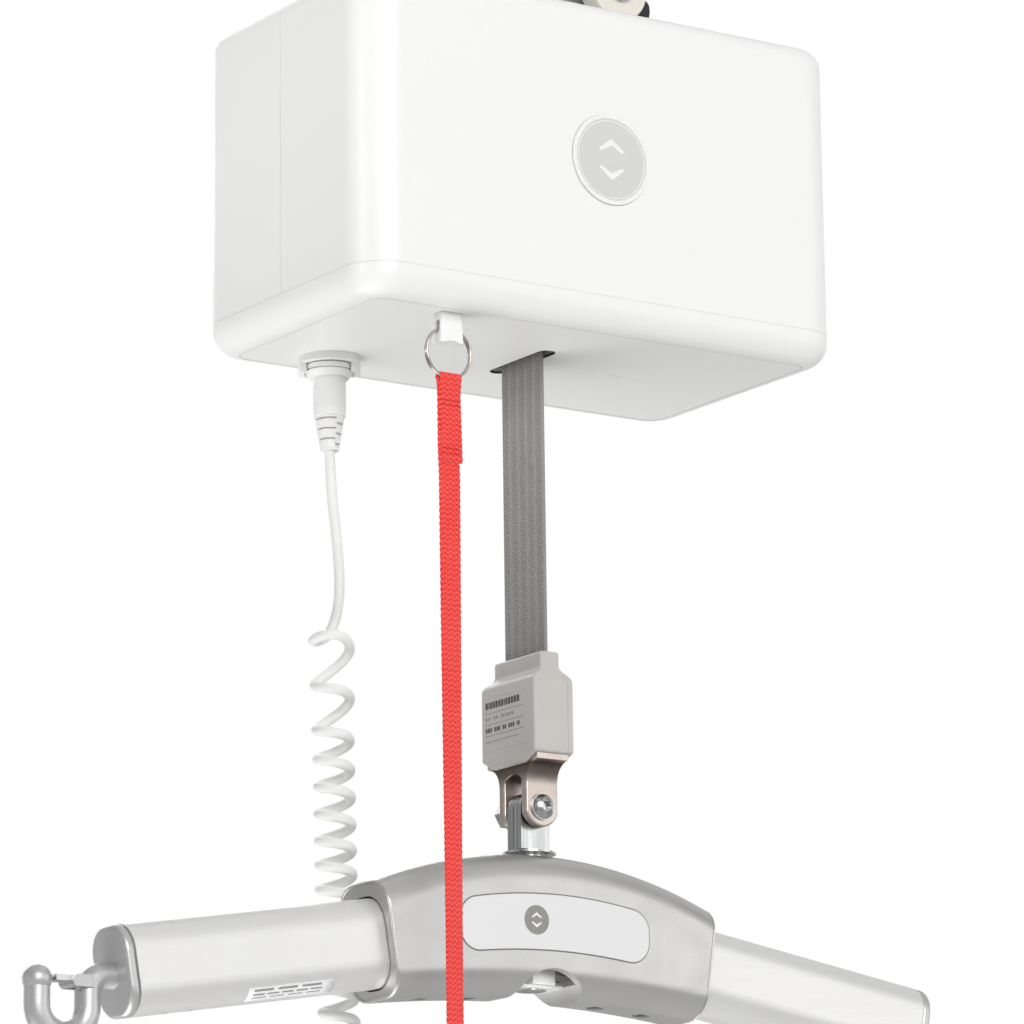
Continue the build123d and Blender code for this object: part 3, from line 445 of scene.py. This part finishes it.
def annulus(name, face, inner, outer, height, material):
    """A raised ring with softened edges."""
    steps = 72
    soft = min(0.25, (outer - inner) / 4)
    section = ((outer, -SUNK), (outer, height - soft), (outer - soft, height), (inner + soft, height),
               (inner, height - soft), (inner, -SUNK))
    rings = []
    for k in range(steps):
        a = 2 * math.pi * k / steps
        rings.append([face.at(r * math.cos(a), r * math.sin(a), w) for r, w in section])
    rings.append(rings[0])
    piece = looped(name, rings, material)
    sharpen(piece)
    return piece


def arrow_outline(cx, cy, width, height, turn):
    """A chevron arrow that points up, or down for turn -1."""
    w, h, t = width / 2, height, height * 0.55
    shape = [(-w, -h / 2), (0, h / 2), (w, -h / 2), (w - t * 0.55, -h / 2 - t * 0.35), (0, h / 2 - t * 1.1),
             (-w + t * 0.55, -h / 2 - t * 0.35)]
    return [(cx + x, cy + turn * y) for x, y in shape]


def ridden(piece, body):
    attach(piece, body)
    return piece


# ---- routes ---------------------------------------------------------------------------------------
def nurbs(name, points, bevel_radius=0.0):
    """A curve of one open NURBS spline of order 3 with these control points."""
    curve = bpy.data.curves.new(name, "CURVE")
    curve.dimensions = "3D"
    curve.resolution_u = 6
    spline = curve.splines.new("NURBS")
    spline.points.add(len(points) - 1)
    for control, point in zip(spline.points, points):
        control.co = (*point, 1.0)
    spline.order_u = 3
    spline.use_endpoint_u = True
    curve.bevel_depth = bevel_radius
    curve.bevel_resolution = 5
    curve.use_fill_caps = True
    piece = bpy.data.objects.new(name, curve)
    scene.collection.objects.link(piece)
    return piece


def followed(points):
    """The points of the NURBS spline that has these control points."""
    guide = nurbs("guide", points)
    bpy.context.view_layer.update()
    line = bpy.data.meshes.new_from_object(guide)
    found = [v.co.copy() for v in line.vertices]
    bpy.data.objects.remove(guide)
    bpy.data.meshes.remove(line)
    return found


def lengths(points):
    total = [0.0]
    for a, b in zip(points, points[1:]):
        total.append(total[-1] + (b - a).length)
    return total


def point_at(points, along, distance):
    for i in range(1, len(points)):
        if distance <= along[i]:
            share = (distance - along[i - 1]) / max(along[i] - along[i - 1], 1e-9)
            return points[i - 1].lerp(points[i], share)
    return points[-1]


# ---- handset cord ---------------------------------------------------------------------------------
CABLE_D = 5.4
COIL_R = 8.6               # to the middle of the cable
LEAD = [mm(-92.0, 46, low(-50.5)), mm(-91.3, 45.8, low(-72)), mm(-89.1, 44.4, low(-96)),
        mm(-87.7, 43.5, low(-118)), mm(-88.0, 44.2, low(-133)), mm(-88.3, 48.3, low(-142.5))]
TAIL = [mm(-86, 46, low(-469)), mm(-86, 46.1, low(-479)), mm(-86, 46.45, low(-490)), mm(-86, 47, low(-500))]
# the turns hang wider apart at the top, where they carry the weight of those below
TOP_PITCHES = [23.3, 23.7, 15.2, 14.5, 14.4, 14.0]
TOP_TILTS = [3.9, 2.4, 1.0]
TILT = 0.65                # each turn hangs a little lower on its left
CURL = 3.6                 # rise of the first half turn
PITCH = 12.75
TURNS = 22
TURN_POINTS = 16
LAST_TURN_POINTS = 13      # three quarters of a turn, and then the cable swings in, ever steeper
SWING_IN = [(-60, 0.99, 0.1), (-30, 0.95, 0.5), (0, 0.87, 1.3),     # degrees, share of the radius, drop
            (30, 0.75, 2.6), (60, 0.58, 4.6), (90, 0.38, 7.4)]
WIDER, WIDER_FOR = 0.14, 900       # the stretched top turns are wider, over so many degrees
COIL_TOP = low(-152.3) * MM
LEFT_TIP = math.radians(145.8)

coil_axis = followed([mm(-91.6, 46, low(-147)), mm(-90.2, 46, low(-230)), mm(-87.6, 46, low(-380)), TAIL[0],
                      TAIL[1]])
axis_along = lengths(coil_axis)


def coil_points():
    """Turns run anticlockwise from above on the way down, round the points of the coil's axis."""
    start, found = coil_axis[0].z - COIL_TOP, []

    def turn_point(degrees, down, share=1.0):
        a = math.radians(degrees)
        turn = max(0, int(degrees // 360))
        tilt = TOP_TILTS[turn] if turn < len(TOP_TILTS) else TILT
        rise = tilt * (1 - math.cos(a)) + (CURL * math.sin(a) if degrees < 180 else 0.0)
        opened = 1 + WIDER * max(0.0, 1 - max(0.0, degrees) / WIDER_FOR)
        radius = COIL_R * share * opened
        a += LEFT_TIP
        centre = point_at(coil_axis, axis_along, down)
        found.append(centre + mm(radius * math.cos(a), radius * math.sin(a), rise))

    for back, share in ((75, 0.8), (50, 0.92), (25, 0.98)):     # the lead swings round into the first turn
        turn_point(-back, start - back / 360 * TOP_PITCHES[0] * MM, share)
    depth = start
    for turn in range(TURNS):
        pitch = (TOP_PITCHES[turn] if turn < len(TOP_PITCHES) else PITCH) * MM
        for k in range(TURN_POINTS if turn < TURNS - 1 else LAST_TURN_POINTS):
            turn_point(360 * (turn + k / TURN_POINTS), depth + pitch * k / TURN_POINTS)
        depth += pitch
    for on, share, drop in SWING_IN:
        turn_point(360 * TURNS + on, depth + (on / 360 * PITCH + drop) * MM, share)
    return found


cord_route = LEAD + coil_points() + TAIL[1:]
handset_cord = nurbs("handset_cord", cord_route, CABLE_D / 2 * MM)
handset_cord.data.materials.append(MATERIALS["cord_white"])
ridden(handset_cord, "hoist")
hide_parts("cord_lead", "cord_coil", "cord_tail")
cord_line = followed(cord_route)


# ---- emergency pull: strap, ring, grip ------------------------------------------------------------
POST_X, POST_Y = -87.4, -61.0
PULL_WIDTH, PULL_THICK = 12.7, 1.3
PULL_TOP, PULL_END = low(-31.8), low(-612)
TAB_END = low(-78)
RING_Z, RING_R, WIRE_R = low(-20.5), 13.35, 0.72
STRAP_TURN = math.radians(17)      # how far the strap turns on its way down
TURNED_BY = 330                    # and over what length
WOVEN = PULL_THICK * 0.92          # thickness between the floats of the weave
LAYER = PULL_THICK * 0.56          # from the fold's middle plane to that of either layer
ROW = 0.7                          # from one ring of points to the next
SELVEDGE, SELVEDGE_STEP = 0.035, 1.29      # how far the edge threads stand out, and their angle for each row
FOLD_ENDS, EASED = 40, 12          # where the long layer starts back to the middle, and over what length

pull_route = followed([mm(POST_X, POST_Y, z) for z in (PULL_TOP, low(-150), low(-300), low(-460), PULL_END)])
pull_along = lengths(pull_route)


def ribbon_ring(centre, turn, wobble, lean=0.0):
    """Cross-section of the pull strap: flat faces, full selvedges."""
    half_w, half_t = PULL_WIDTH / 2, WOVEN / 2
    side = []
    for u, t in ((-1.0, 0.45), (-0.93, 0.95), (-0.6, 1.0), (-0.2, 1.0), (0.2, 1.0), (0.6, 1.0), (0.93, 0.95),
                 (1.0, 0.45)):
        edge = wobble if abs(u) > 0.9 else 0.0
        side.append((u * half_w * (1 + edge), t * half_t))
    outline = side + [(u, -t) for u, t in reversed(side)]
    c, s = math.cos(turn), math.sin(turn)
    cl, sl = math.cos(lean), math.sin(lean)
    points = []
    for u, t in outline:
        x, y, z = u, t * cl, t * sl
        points.append(centre + mm(x * c - y * s, x * s + y * c, z))
    return points


def pull_strap_rings():
    """The long layer, which lies behind the fold at the top and in the middle below it."""
    rings = []
    start, step = 3 * MM, ROW * MM
    count = int((pull_along[-1] - start) / step)
    for k in range(count + 1):
        centre = point_at(pull_route, pull_along, start + k * step)
        depth = PULL_TOP - centre.z / MM
        behind = max(0.0, 1 - max(0.0, depth - FOLD_ENDS) / EASED) * LAYER
        turn = STRAP_TURN * (1 - math.cos(math.pi * min(1.0, depth / TURNED_BY))) / 2
        wobble = SELVEDGE * math.sin(k * SELVEDGE_STEP)
        rings.append(ribbon_ring(centre + mm(0, behind, 0), turn, wobble))
    return rings


pull_strap = lofted("pull_strap_web", pull_strap_rings(), MATERIALS["webbing_red"])
sharpen(pull_strap, 50)
ridden(pull_strap, "emergency_pull")
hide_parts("pull_strap")


def pull_loop_rings():
    """The strap's end: up behind the ring's wire, over it, and down the front to its cut end."""
    wire_z = RING_Z - RING_R
    bend = WIRE_R * 2 + PULL_THICK / 2 + 0.25
    closing = 9                    # length over which the fold comes back against the long layer
    shift, skew = 1.3, 0.03        # how far to the right its cut end lies, and how much it is turned
    rise, parting = 8, 0.9         # length behind the wire, and how far it parts from the long layer there
    rings = []
    for k in range(rise):
        rings.append(ribbon_ring(mm(POST_X, POST_Y + LAYER + parting * k / rise, wire_z - rise + k), 0, 0.0))
    over = 12
    for k in range(over + 1):
        a = math.pi * k / over
        y, z = bend * math.cos(a), bend * math.sin(a)
        rings.append(ribbon_ring(mm(POST_X, POST_Y + y, wire_z + z), 0, 0.0, a))
    steps = int((wire_z - TAB_END) / ROW)
    for k in range(1, steps + 1):
        z = wire_z - k * ROW
        near = bend + (LAYER - bend) * min(1.0, k * ROW / closing)
        wobble = SELVEDGE * math.sin(k * SELVEDGE_STEP)
        centre = mm(POST_X + shift * k / steps, POST_Y - near, z)
        rings.append(ribbon_ring(centre, skew * k / steps, wobble, math.pi))
    return rings


pull_loop = lofted("pull_strap_fold", pull_loop_rings(), MATERIALS["webbing_red"])
sharpen(pull_loop, 50)
ridden(pull_loop, "emergency_pull")


def stitch_row(name, z):
    """A row of short raised stitches across the folded strap."""
    vertices, faces = [], []
    sides, spans = 6, 4
    first, pitch, half = POST_X - 4.8, 1.6, 0.55
    front = POST_Y - 1.42
    for k in range(7):
        x = first + k * pitch
        start, end = mm(x - half, front, z), mm(x + half, front, z + 0.15)
        base = len(vertices)
        for j in range(spans + 1):
            share = j / spans
            rise = math.sin(math.pi * share)
            centre = start.lerp(end, share) + mm(0, -0.16 * rise, 0)
            radius = 0.2 + 0.08 * rise
            for i in range(sides):
                a = 2 * math.pi * i / sides
                vertices.append(centre + mm(0, radius * math.cos(a), radius * math.sin(a)))
        for j in range(spans):
            here, there = base + j * sides, base + (j + 1) * sides
            for i in range(sides):
                n = (i + 1) % sides
                faces.append((here + i, here + n, there + n, there + i))
        faces.append(tuple(base + i for i in range(sides)))
        faces.append(tuple(base + spans * sides + i for i in reversed(range(sides))))
    return ridden(add_mesh(name, vertices, faces, THREAD_RED), "emergency_pull")


stitches = [stitch_row(f"pull_stitches_{k + 1}", low(z)) for k, z in enumerate((-46, -48.5, -71, -73.5))]


def split_ring():
    """Flat-wound spring wire, just under two turns, with its ends lying against the other turn."""
    points = []
    turns, per_turn = 1.9, 40
    crossing, crossing_length = per_turn * 0.92, per_turn * 0.12
    for k in range(int(turns * per_turn) + 1):
        a = math.radians(-100) + 2 * math.pi * k / per_turn
        side = -1 + 2 * min(1.0, max(0.0, (k - crossing) / crossing_length))
        points.append(mm(POST_X + RING_R * math.cos(a), POST_Y + side * WIRE_R * 0.98,
                         RING_Z + RING_R * math.sin(a)))
    piece = nurbs("split_ring_wire", points, WIRE_R * MM)
    piece.data.materials.append(MATERIALS["ring_nickel"])
    ridden(piece, "emergency_pull")
    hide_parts("split_ring")


split_ring()


def lathe(name, profile, x, y, material):
    """profile is (radius, z) from bottom to top, in millimetres."""
    steps = 48
    angles = [2 * math.pi * k / steps for k in range(steps)]
    rings = [[mm(x + radius * math.cos(a), y + radius * math.sin(a), z) for a in angles]
             for radius, z in profile]
    return lofted(name, rings, material)


def grip_profile():
    """Radius and height up the grip, which has five raised bands."""
    base = PULL_END - 40
    shape = [(1.0, 0), (5.5, 0.4), (8.6, 2.2), (9.9, 5.0)]
    for k in range(5):
        z = 8.0 + k * 5.6
        shape += [(10.0, z), (10.9, z + 1.0), (10.9, z + 2.6), (10.0, z + 3.6)]
    shape += [(9.6, 37.5), (8.4, 40.2), (7.2, 42.0), (6.9, 43.6), (1.2, 43.9)]
    return [(r, base + z) for r, z in shape]


pull_grip = lathe("pull_grip", grip_profile(), POST_X, POST_Y, MATERIALS["grip_red"])
subdivide = pull_grip.modifiers.new("smooth", "SUBSURF")
subdivide.levels = subdivide.render_levels = 1
ridden(pull_grip, "emergency_pull")
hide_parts("strap_grip")
for piece in (pull_strap, pull_loop):       # keeps the strap's red off the bar's satin metal
    piece.visible_glossy = False
    piece.visible_diffuse = False


# ---- lifting strap --------------------------------------------------------------------------------
STRAP_WIDTH, STRAP_THICK, RIBS = 38.0, 2.2, 5
RIB_RISE = 0.28
STRAP_TOP, STRAP_FOOT = low(74), low(-190)
STRAP_ROWS = 200


def strap_ring(z):
    """Lengthwise ribs on each face, with firm rounded selvedges."""
    count = RIBS * 10
    selvedge = 0.03                # share of the half width
    face = []
    for k in range(count + 1):
        u = -1 + 2 * k / count
        rib = abs(math.sin(math.pi * RIBS * k / count))
        edge = max(0.0, abs(u) - (1 - selvedge)) / selvedge
        thick = (STRAP_THICK / 2 - RIB_RISE + RIB_RISE * rib ** 0.6) * math.sqrt(max(0.05, 1 - edge * 0.8))
        face.append((u * STRAP_WIDTH / 2, thick))
    outline = face + [(y, -x) for y, x in reversed(face)]
    return [mm(x, y, z) for y, x in outline]


strap_rings = [strap_ring(STRAP_TOP + (STRAP_FOOT - STRAP_TOP) * k / STRAP_ROWS)
               for k in range(STRAP_ROWS + 1)]
lift_strap = lofted("lifting_strap_web", strap_rings, MATERIALS["strap_grey"])
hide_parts("lifting_strap")
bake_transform(lift_strap)


# ---- casing: emblem and moulded marks -------------------------------------------------------------
EMBLEM_Z = low(90)
CASE_FRONT, EMBLEM_PROUD = -84.3, 0.6
emblem_face = Face(mm(0, CASE_FRONT - EMBLEM_PROUD, EMBLEM_Z), Vector((1, 0, 0)), Vector((0, 0, 1)))
for name, inner, outer, height in (("emblem_rim", 22.0, 24.4, 0.45), ("emblem_line", 20.6, 21.2, 0.12)):
    ridden(annulus(name, emblem_face, inner, outer, height, MARK_WHITE), "hoist")
for name, cy, turn in (("emblem_up", 8.2, 1), ("emblem_down", -8.2, -1)):
    arrow = arrow_outline(0, cy, 16.5, 6.2, turn)
    ridden(relief(name, emblem_face, arrow, 0.35, MARK_WHITE, edge=0.12), "hoist")

under_face = Face(mm(0, 0, low(0)), Vector((1, 0, 0)), Vector((0, -1, 0)))


def casing_band(name, length, depth, corner, width, top, bottom, material):
    """A closed strip of rectangular section that follows the casing's rounded plan."""
    outer = rounded_outline(length, depth, corner, steps=10)
    inner = rounded_outline(length - 2 * width, depth - 2 * width, corner - width, steps=10)
    section = ((outer, bottom), (outer, top), (inner, top), (inner, bottom), (outer, bottom))
    rings = [[mm(x, y, z) for x, y in outline] for outline, z in section]
    piece = looped(name, rings, material)
    sharpen(piece)
    return ridden(piece, "hoist")


casing_band("seam_bead", length=299.4, depth=168.0, corner=21.6, width=1.0, top=low(16.4), bottom=low(15.85),
            material=MATERIALS["casing_white"])
# the tray step is a grey bead: its grey is painted shade, for the shadow line where the tray's round-over
# ends in a small step
casing_band("tray_step_shade_line", length=273.0, depth=141.6, corner=8.6, width=0.55, top=low(0.3), bottom=low(-0.14),
            material=MATERIALS["emblem_grey"])
for k, (x, turn) in enumerate(((44.0, 1), (59.0, -1), (72.4, 1))):
    arrow = arrow_outline(x, -0.8, 9.0, 5.0, turn)
    mark = relief(f"tray_mark_{k + 1}", under_face, arrow, 0.18, MATERIALS["casing_white"], edge=0.05)
    ridden(mark, "hoist")


def slot_lip():
    """Dark wear lip set into the edge of the strap's slot."""
    rings = []
    slot_length, slot_width = 54, 9.4
    half, radius = slot_length / 2 - slot_width / 2, slot_width / 2
    outline = [(x, half + y) for x, y in arc(0, 0, 1.0, 0, 180, 16)]
    outline += [(x, -half + y) for x, y in arc(0, 0, 1.0, 180, 360, 16)]
    for x, y in outline:
        direction = Vector((x, y - math.copysign(half, y), 0)).normalized()
        mouth = Vector((0, math.copysign(half, y), 0)) + direction * radius
        section = ((0.25, -0.16), (0.25, 0.3), (-0.5, 0.9), (-0.5, 0.1), (-0.2, -0.16))
        rings.append([mm(*(mouth + direction * d)[:2], low(z)) for d, z in section])
    rings.append(rings[0])
    piece = looped("slot_lip", rings, MATERIALS["dark_plastic"])
    sharpen(piece)
    return piece


ridden(slot_lip(), "hoist")


# ---- coupling cover: rating plate -----------------------------------------------------------------
cover_face = Face(mm(-12.5, 3.2, low(-194.2)), Vector((0, -1, 0)), Vector((0, 0, 1)))
LABEL_W, LABEL_H = 38.5, 28.5
LABEL_LINE, LABEL_CORNER = 0.35, 1.0


def label_frame(rise):
    """A moulded line round the plate."""
    outer = rounded_outline(LABEL_W, LABEL_H, LABEL_CORNER)
    inner = rounded_outline(LABEL_W - 2 * LABEL_LINE, LABEL_H - 2 * LABEL_LINE, LABEL_CORNER - LABEL_LINE)
    rings = [[cover_face.at(u, v, w) for u, v in outline]
             for outline, w in ((outer, -SUNK), (outer, rise), (inner, rise), (inner, -SUNK))]
    piece = lofted("label_frame", rings, MATERIALS["cover_grey"], capped=False)
    sharpen(piece)
    return piece


ridden(label_frame(0.14), "coupling")
for k, v in enumerate((6.1, 0.1, -5.9)):
    line = rounded_outline(LABEL_W - 3, LABEL_LINE, 0.15, 0, v, 2)
    ridden(relief(f"label_line_{k + 1}", cover_face, line, 0.1, INK_MID), "coupling")


def glyph_row(name, v, height, pattern, gap, ink):
    """Plain blocks of uneven width in a line, joined in one mesh; a 0 in the pattern is a space."""
    vertices, faces = [], []
    margin, space, rise = 2.2, 1.2, 0.06
    u = -LABEL_W / 2 + margin
    for width in pattern:
        if width:
            corners = rounded_outline(width, height, min(0.3, height / 2.2), u + width / 2, v, 2)
            base, count = len(vertices), len(corners)
            vertices += [cover_face.at(x, y, -SUNK) for x, y in corners]
            vertices += [cover_face.at(x, y, rise) for x, y in corners]
            faces.append(tuple(base + count + j for j in range(count)))
            faces.append(tuple(base + j for j in reversed(range(count))))
            for j in range(count):
                n = (j + 1) % count
                faces.append((base + j, base + n, base + count + n, base + count + j))
        u += (width or space) + gap
    ridden(add_mesh(name, vertices, faces, ink, smooth=False), "coupling")


glyph_row("label_row_1", 10.2, 3.6,
          (2.2, 1.0, 1.9, 1.9, 2.3, 2.0, 1.9, 1.0, 1.8, 2.1, 2.1, 2.2, 2.4), 0.55, INK_DARK)
glyph_row("label_row_2", 3.2, 1.9,
          (1.6, 0.8, 0.8, 0, 1.4, 1.4, 0, 1.3, 1.3, 1.3, 1.3, 1.3, 1.3), 0.8, INK_MID)
glyph_row("label_row_3", -2.9, 2.4,
          (1.5, 1.9, 1.3, 0, 1.5, 1.5, 1.5, 0, 1.4, 1.4, 0, 1.5, 1.5, 1.5, 0, 0.8, 1.4), 0.5, INK_DARK)
glyph_row("label_row_4", -9.0, 1.0,
          (1.2, 1.2, 1.2, 0.5, 1.1, 1.1, 1.1, 1.1, 1.1, 1.1, 1.1, 0.5, 1.1, 1.1, 1.1), 1.0, INK_MID)


# ---- badge plate, sticker -------------------------------------------------------------------------
BADGE_Z = low(-303)
BADGE_FRONT, HUB_FRONT = -23.7, -23.2
DISC_X = -12
badge_face = Face(mm(0, BADGE_FRONT, BADGE_Z), Vector((1, 0, 0)), Vector((0, 0, 1)))
hub_face = Face(mm(0, HUB_FRONT, BADGE_Z), Vector((1, 0, 0)), Vector((0, 0, 1)))


def badge_groove_shade():
    """A grey line of painted shade between the plate and the hub, round the plate's own outline, for the
    shadow in the groove there.
    """
    corners = nodes["badge_plate"].data.vertices
    front = min(v.co.y for v in corners)
    rim = {(round(v.co.x / MM, 2), round(v.co.z / MM - BADGE_Z, 2)) for v in corners
           if v.co.y < front + 0.1 * MM}
    outline = sorted(rim, key=lambda p: math.atan2(p[1], p[0]))
    rings = []
    for grow, rise in ((0.75, -0.3), (0.75, 0.04), (-0.1, 0.04), (-0.1, -0.3)):
        ring = []
        for k, (u, v) in enumerate(outline):
            before, after = outline[k - 1], outline[(k + 1) % len(outline)]
            along = Vector((after[0] - before[0], after[1] - before[1])).normalized()
            ring.append(hub_face.at(u + along.y * grow, v - along.x * grow, rise))
        rings.append(ring)
    piece = lofted("badge_groove_shade_line", rings, GROOVE_SHADE_GREY, capped=False)
    sharpen(piece)
    return piece


ridden(badge_groove_shade(), "spreader_bar")
ridden(relief("badge_disc", badge_face, arc(DISC_X, 1.0, 7.6, 0, 354, 59), 0.08, INK_MID), "spreader_bar")
for name, cy, turn in (("badge_up", 3.7, 1), ("badge_down", -1.7, -1)):
    arrow = arrow_outline(DISC_X, cy, 6.4, 2.5, turn)
    ridden(relief(name, badge_face, arrow, 0.14, MARK_WHITE), "spreader_bar")

ARM_DIP = math.radians(9.2)
CORNER_Y, CORNER_Z, CORNER_R = -3, -9, 14      # the lower front corner, from the arm's middle
along_left_arm = Vector((math.cos(ARM_DIP), 0, math.sin(ARM_DIP)))
arm_up = Vector((-math.sin(ARM_DIP), 0, math.cos(ARM_DIP)))
arm_middle = mm(0, 0, low(-301.7))


def on_corner(x, degrees, rise=0.0):
    """A point on the left arm's lower front corner, at a place along X and an angle round the corner."""
    a = math.radians(degrees)
    centre = arm_middle + along_left_arm * (x / math.cos(ARM_DIP)) * MM
    across, upward = CORNER_Y + (CORNER_R + rise) * math.cos(a), CORNER_Z + (CORNER_R + rise) * math.sin(a)
    return centre + Vector((0, across, 0)) * MM + arm_up * upward * MM


def corner_patch(name, x0, x1, a0, a1, rise, material):
    """A thin patch that follows the corner, with its four edges turned down to the tube."""
    columns, rows = 8, 8
    rings = []
    for k in range(-1, columns + 2):
        x = x0 + (x1 - x0) * min(max(k, 0), columns) / columns
        ring = []
        for j in range(-1, rows + 2):
            edge = k in (-1, columns + 1) or j in (-1, rows + 1)
            ring.append(on_corner(x, a0 + (a1 - a0) * min(max(j, 0), rows) / rows, -0.05 if edge else rise))
        rings.append(ring)
    return lofted(name, rings, material, closed_ring=False, capped=False)


ridden(corner_patch("arm_sticker", -181, -131, 211, 250, 0.12, LABEL_WHITE), "spreader_bar")
ROW_LENGTH = 42
for row, (a0, a1, parts) in enumerate(((216, 221, 3), (227, 231, 5), (237, 240, 4))):
    for k in range(parts):
        x0 = -178 + ROW_LENGTH * k / parts
        x1 = x0 + ROW_LENGTH / parts * 0.8
        ridden(corner_patch(f"sticker_bar_{row + 1}_{k + 1}", x0, x1, a0, a1, 0.16, INK_MID), "spreader_bar")


# ---- hub: rolled lips round the ends --------------------------------------------------------------
MOUTH_WIDTH, MOUTH_HEIGHT, MOUTH_CORNER = 44.9, 59.0, 14.2
LIP_ACROSS, LIP_OUT = 0.75, 0.55
HUB_TOP_HALF, HUB_FOOT_HALF = 103.5, 94.5
HUB_TOP_Z, HUB_FOOT_Z = low(-286.8), low(-346.7)


def hub_lip(name, side):
    """The half-round lip that borders the mouth that the arm goes into."""
    slope = Vector(((HUB_TOP_HALF - HUB_FOOT_HALF) * side, 0, HUB_TOP_Z - HUB_FOOT_Z)).normalized()
    middle = mm(side * (HUB_TOP_HALF + HUB_FOOT_HALF) / 2, 0, (HUB_TOP_Z + HUB_FOOT_Z) / 2)
    out = Vector((side, 0, 0))
    rings = []
    sides = 8
    round_lip = [2 * math.pi * j / sides for j in range(sides)]
    outline = rounded_outline(MOUTH_WIDTH, MOUTH_HEIGHT, MOUTH_CORNER, 0, 0.1, 12)
    for k, (u, v) in enumerate(outline):
        before, after = outline[k - 1], outline[(k + 1) % len(outline)]
        along = Vector((after[0] - before[0], after[1] - before[1])).normalized()
        normal = Vector((0, along.y, 0)) + slope * -along.x
        centre = middle + Vector((0, u, 0)) * MM + slope * v * MM
        rings.append([centre + (normal * math.cos(a) * LIP_ACROSS + out * math.sin(a) * LIP_OUT) * MM
                      for a in round_lip])
    rings.append(rings[0])
    return ridden(looped(name, rings, MATERIALS["hub_silver"]), "spreader_bar")


hub_lip("hub_lip_right", 1)
hub_lip("hub_lip_left", -1)


# ---- handset: button symbols ----------------------------------------------------------------------
HANDSET_X, HANDSET_Y, HANDSET_TOP = -86.0, 47, low(-512)
HANDSET_HALF, KEY_PROUD = 12.5, 1.6
KEY_FACE_Y = HANDSET_Y - HANDSET_HALF - KEY_PROUD
for name, body, dz, turn in (("symbol_up", "up_key", -38, 1), ("symbol_down", "down_key", -70, -1)):
    key_face = Face(mm(HANDSET_X, KEY_FACE_Y, HANDSET_TOP + dz), Vector((1, 0, 0)), Vector((0, 0, 1)))
    arrow = arrow_outline(0, 0.6 * turn, 11, 6, turn)
    ridden(relief(name, key_face, arrow, 0.4, MARK_WHITE, edge=0.12), body)


# ---- stage and light ------------------------------------------------------------------------------
def make_floor():
    """A matte pale floor, a little lighter to the camera than to the things that stand over it."""
    shader = Shader("floor_pale")
    shader.colour(shader.ramp(shader.noise(6.0, 4.0), (0.3, (0.64, 0.64, 0.635)), (0.7, (0.68, 0.68, 0.675))))
    shader.normal(shader.bump(shader.noise(40.0, 3.0), 0.0005, 0.3))
    glow = shader.math("MULTIPLY", shader.camera_ray(), 0.42)
    shader.join(glow, shader.bsdf.inputs["Emission Strength"])
    shader.set(Emission_Color=(1.0, 1.0, 1.0, 1.0), Specular_IOR_Level=0.2)
    shader.roughness(shader.spread(shader.noise(12.0), 0.75, 0.85))
    reach, level = 20, -2.6
    corners = [(-reach, -reach, level), (reach, -reach, level), (reach, reach, level), (-reach, reach, level)]
    add_mesh("floor", corners, [(0, 1, 2, 3)], shader.material)


make_floor()


def area_light(name, at, aim, size, power, spread=180):
    light = bpy.data.lights.new(name, "AREA")
    light.shape = "RECTANGLE"
    light.size, light.size_y = size
    light.energy = power
    light.spread = math.radians(spread)
    lamp = bpy.data.objects.new(name, light)
    lamp.location = at
    lamp.rotation_mode = "QUATERNION"
    lamp.rotation_quaternion = (Vector(aim) - Vector(at)).to_track_quat("-Z", "Y")
    scene.collection.objects.link(lamp)


area_light("key", (-1.1, -3.6, 0.8), aim=(0, 0, -0.4), size=(2.2, 1.8), power=74)
area_light("fill", (2.6, -2.4, 0.0), aim=(0, 0, -0.4), size=(2.0, 2.0), power=10)
area_light("bounce", (-0.7, 0.5, -2.3), aim=(0, 0, -0.2), size=(1.8, 1.8), power=36)
area_light("back", (0.8, 3.0, 1.4), aim=(0, 0, -0.3), size=(2.4, 1.2), power=30)
area_light("side", (-1.2, -0.1, 0.05), aim=(-0.15, 0, -0.06), size=(0.4, 0.3), power=0.11, spread=24)


def make_world():
    """White for the camera; for light, a soft room, darker overhead and to the left, with darker uprights."""
    world = bpy.data.worlds.new("studio")
    room = NodeTree(world, "Generated")
    light = room.tree.nodes["Background"]
    light.inputs["Strength"].default_value = 1.12
    height = room.spread(room.axis("Z"), 0.0, 1.0, -1.0, 1.0)
    stops = ((0.0, 0.85), (0.42, 0.95), (0.6, 0.95), (0.72, 0.55), (1.0, 0.6))      # height, brightness
    bands = room.ramp(height, *[(position, (tone, tone, tone)) for position, tone in stops])
    around = room.math("ARCTAN2", room.axis("Y"), room.axis("X"))
    stripe = room.math("SINE", room.math("MULTIPLY", around, 5.0))
    uprights = room.spread(stripe, 0.25, 1.0, -1.0, -0.55)
    left = room.spread(room.axis("X"), 0.54, 1.0, -0.9, 0.1)
    dimmed = room.tree.nodes.new("ShaderNodeVectorMath")
    dimmed.operation = "SCALE"
    room.join(bands, dimmed.inputs[0])
    room.join(room.math("MULTIPLY", uprights, left), dimmed.inputs["Scale"])
    room.join(dimmed.outputs["Vector"], light.inputs["Color"])
    seen = room.tree.nodes.new("ShaderNodeBackground")
    seen.inputs["Color"].default_value = (1.0, 1.0, 1.0, 1.0)
    mix = room.tree.nodes.new("ShaderNodeMixShader")
    room.join(room.camera_ray(), mix.inputs[0])
    room.join(light.outputs[0], mix.inputs[1])
    room.join(seen.outputs[0], mix.inputs[2])
    room.join(mix.outputs[0], room.tree.nodes["World Output"].inputs["Surface"])
    scene.world = world


make_world()
scene.view_settings.view_transform = "Standard"
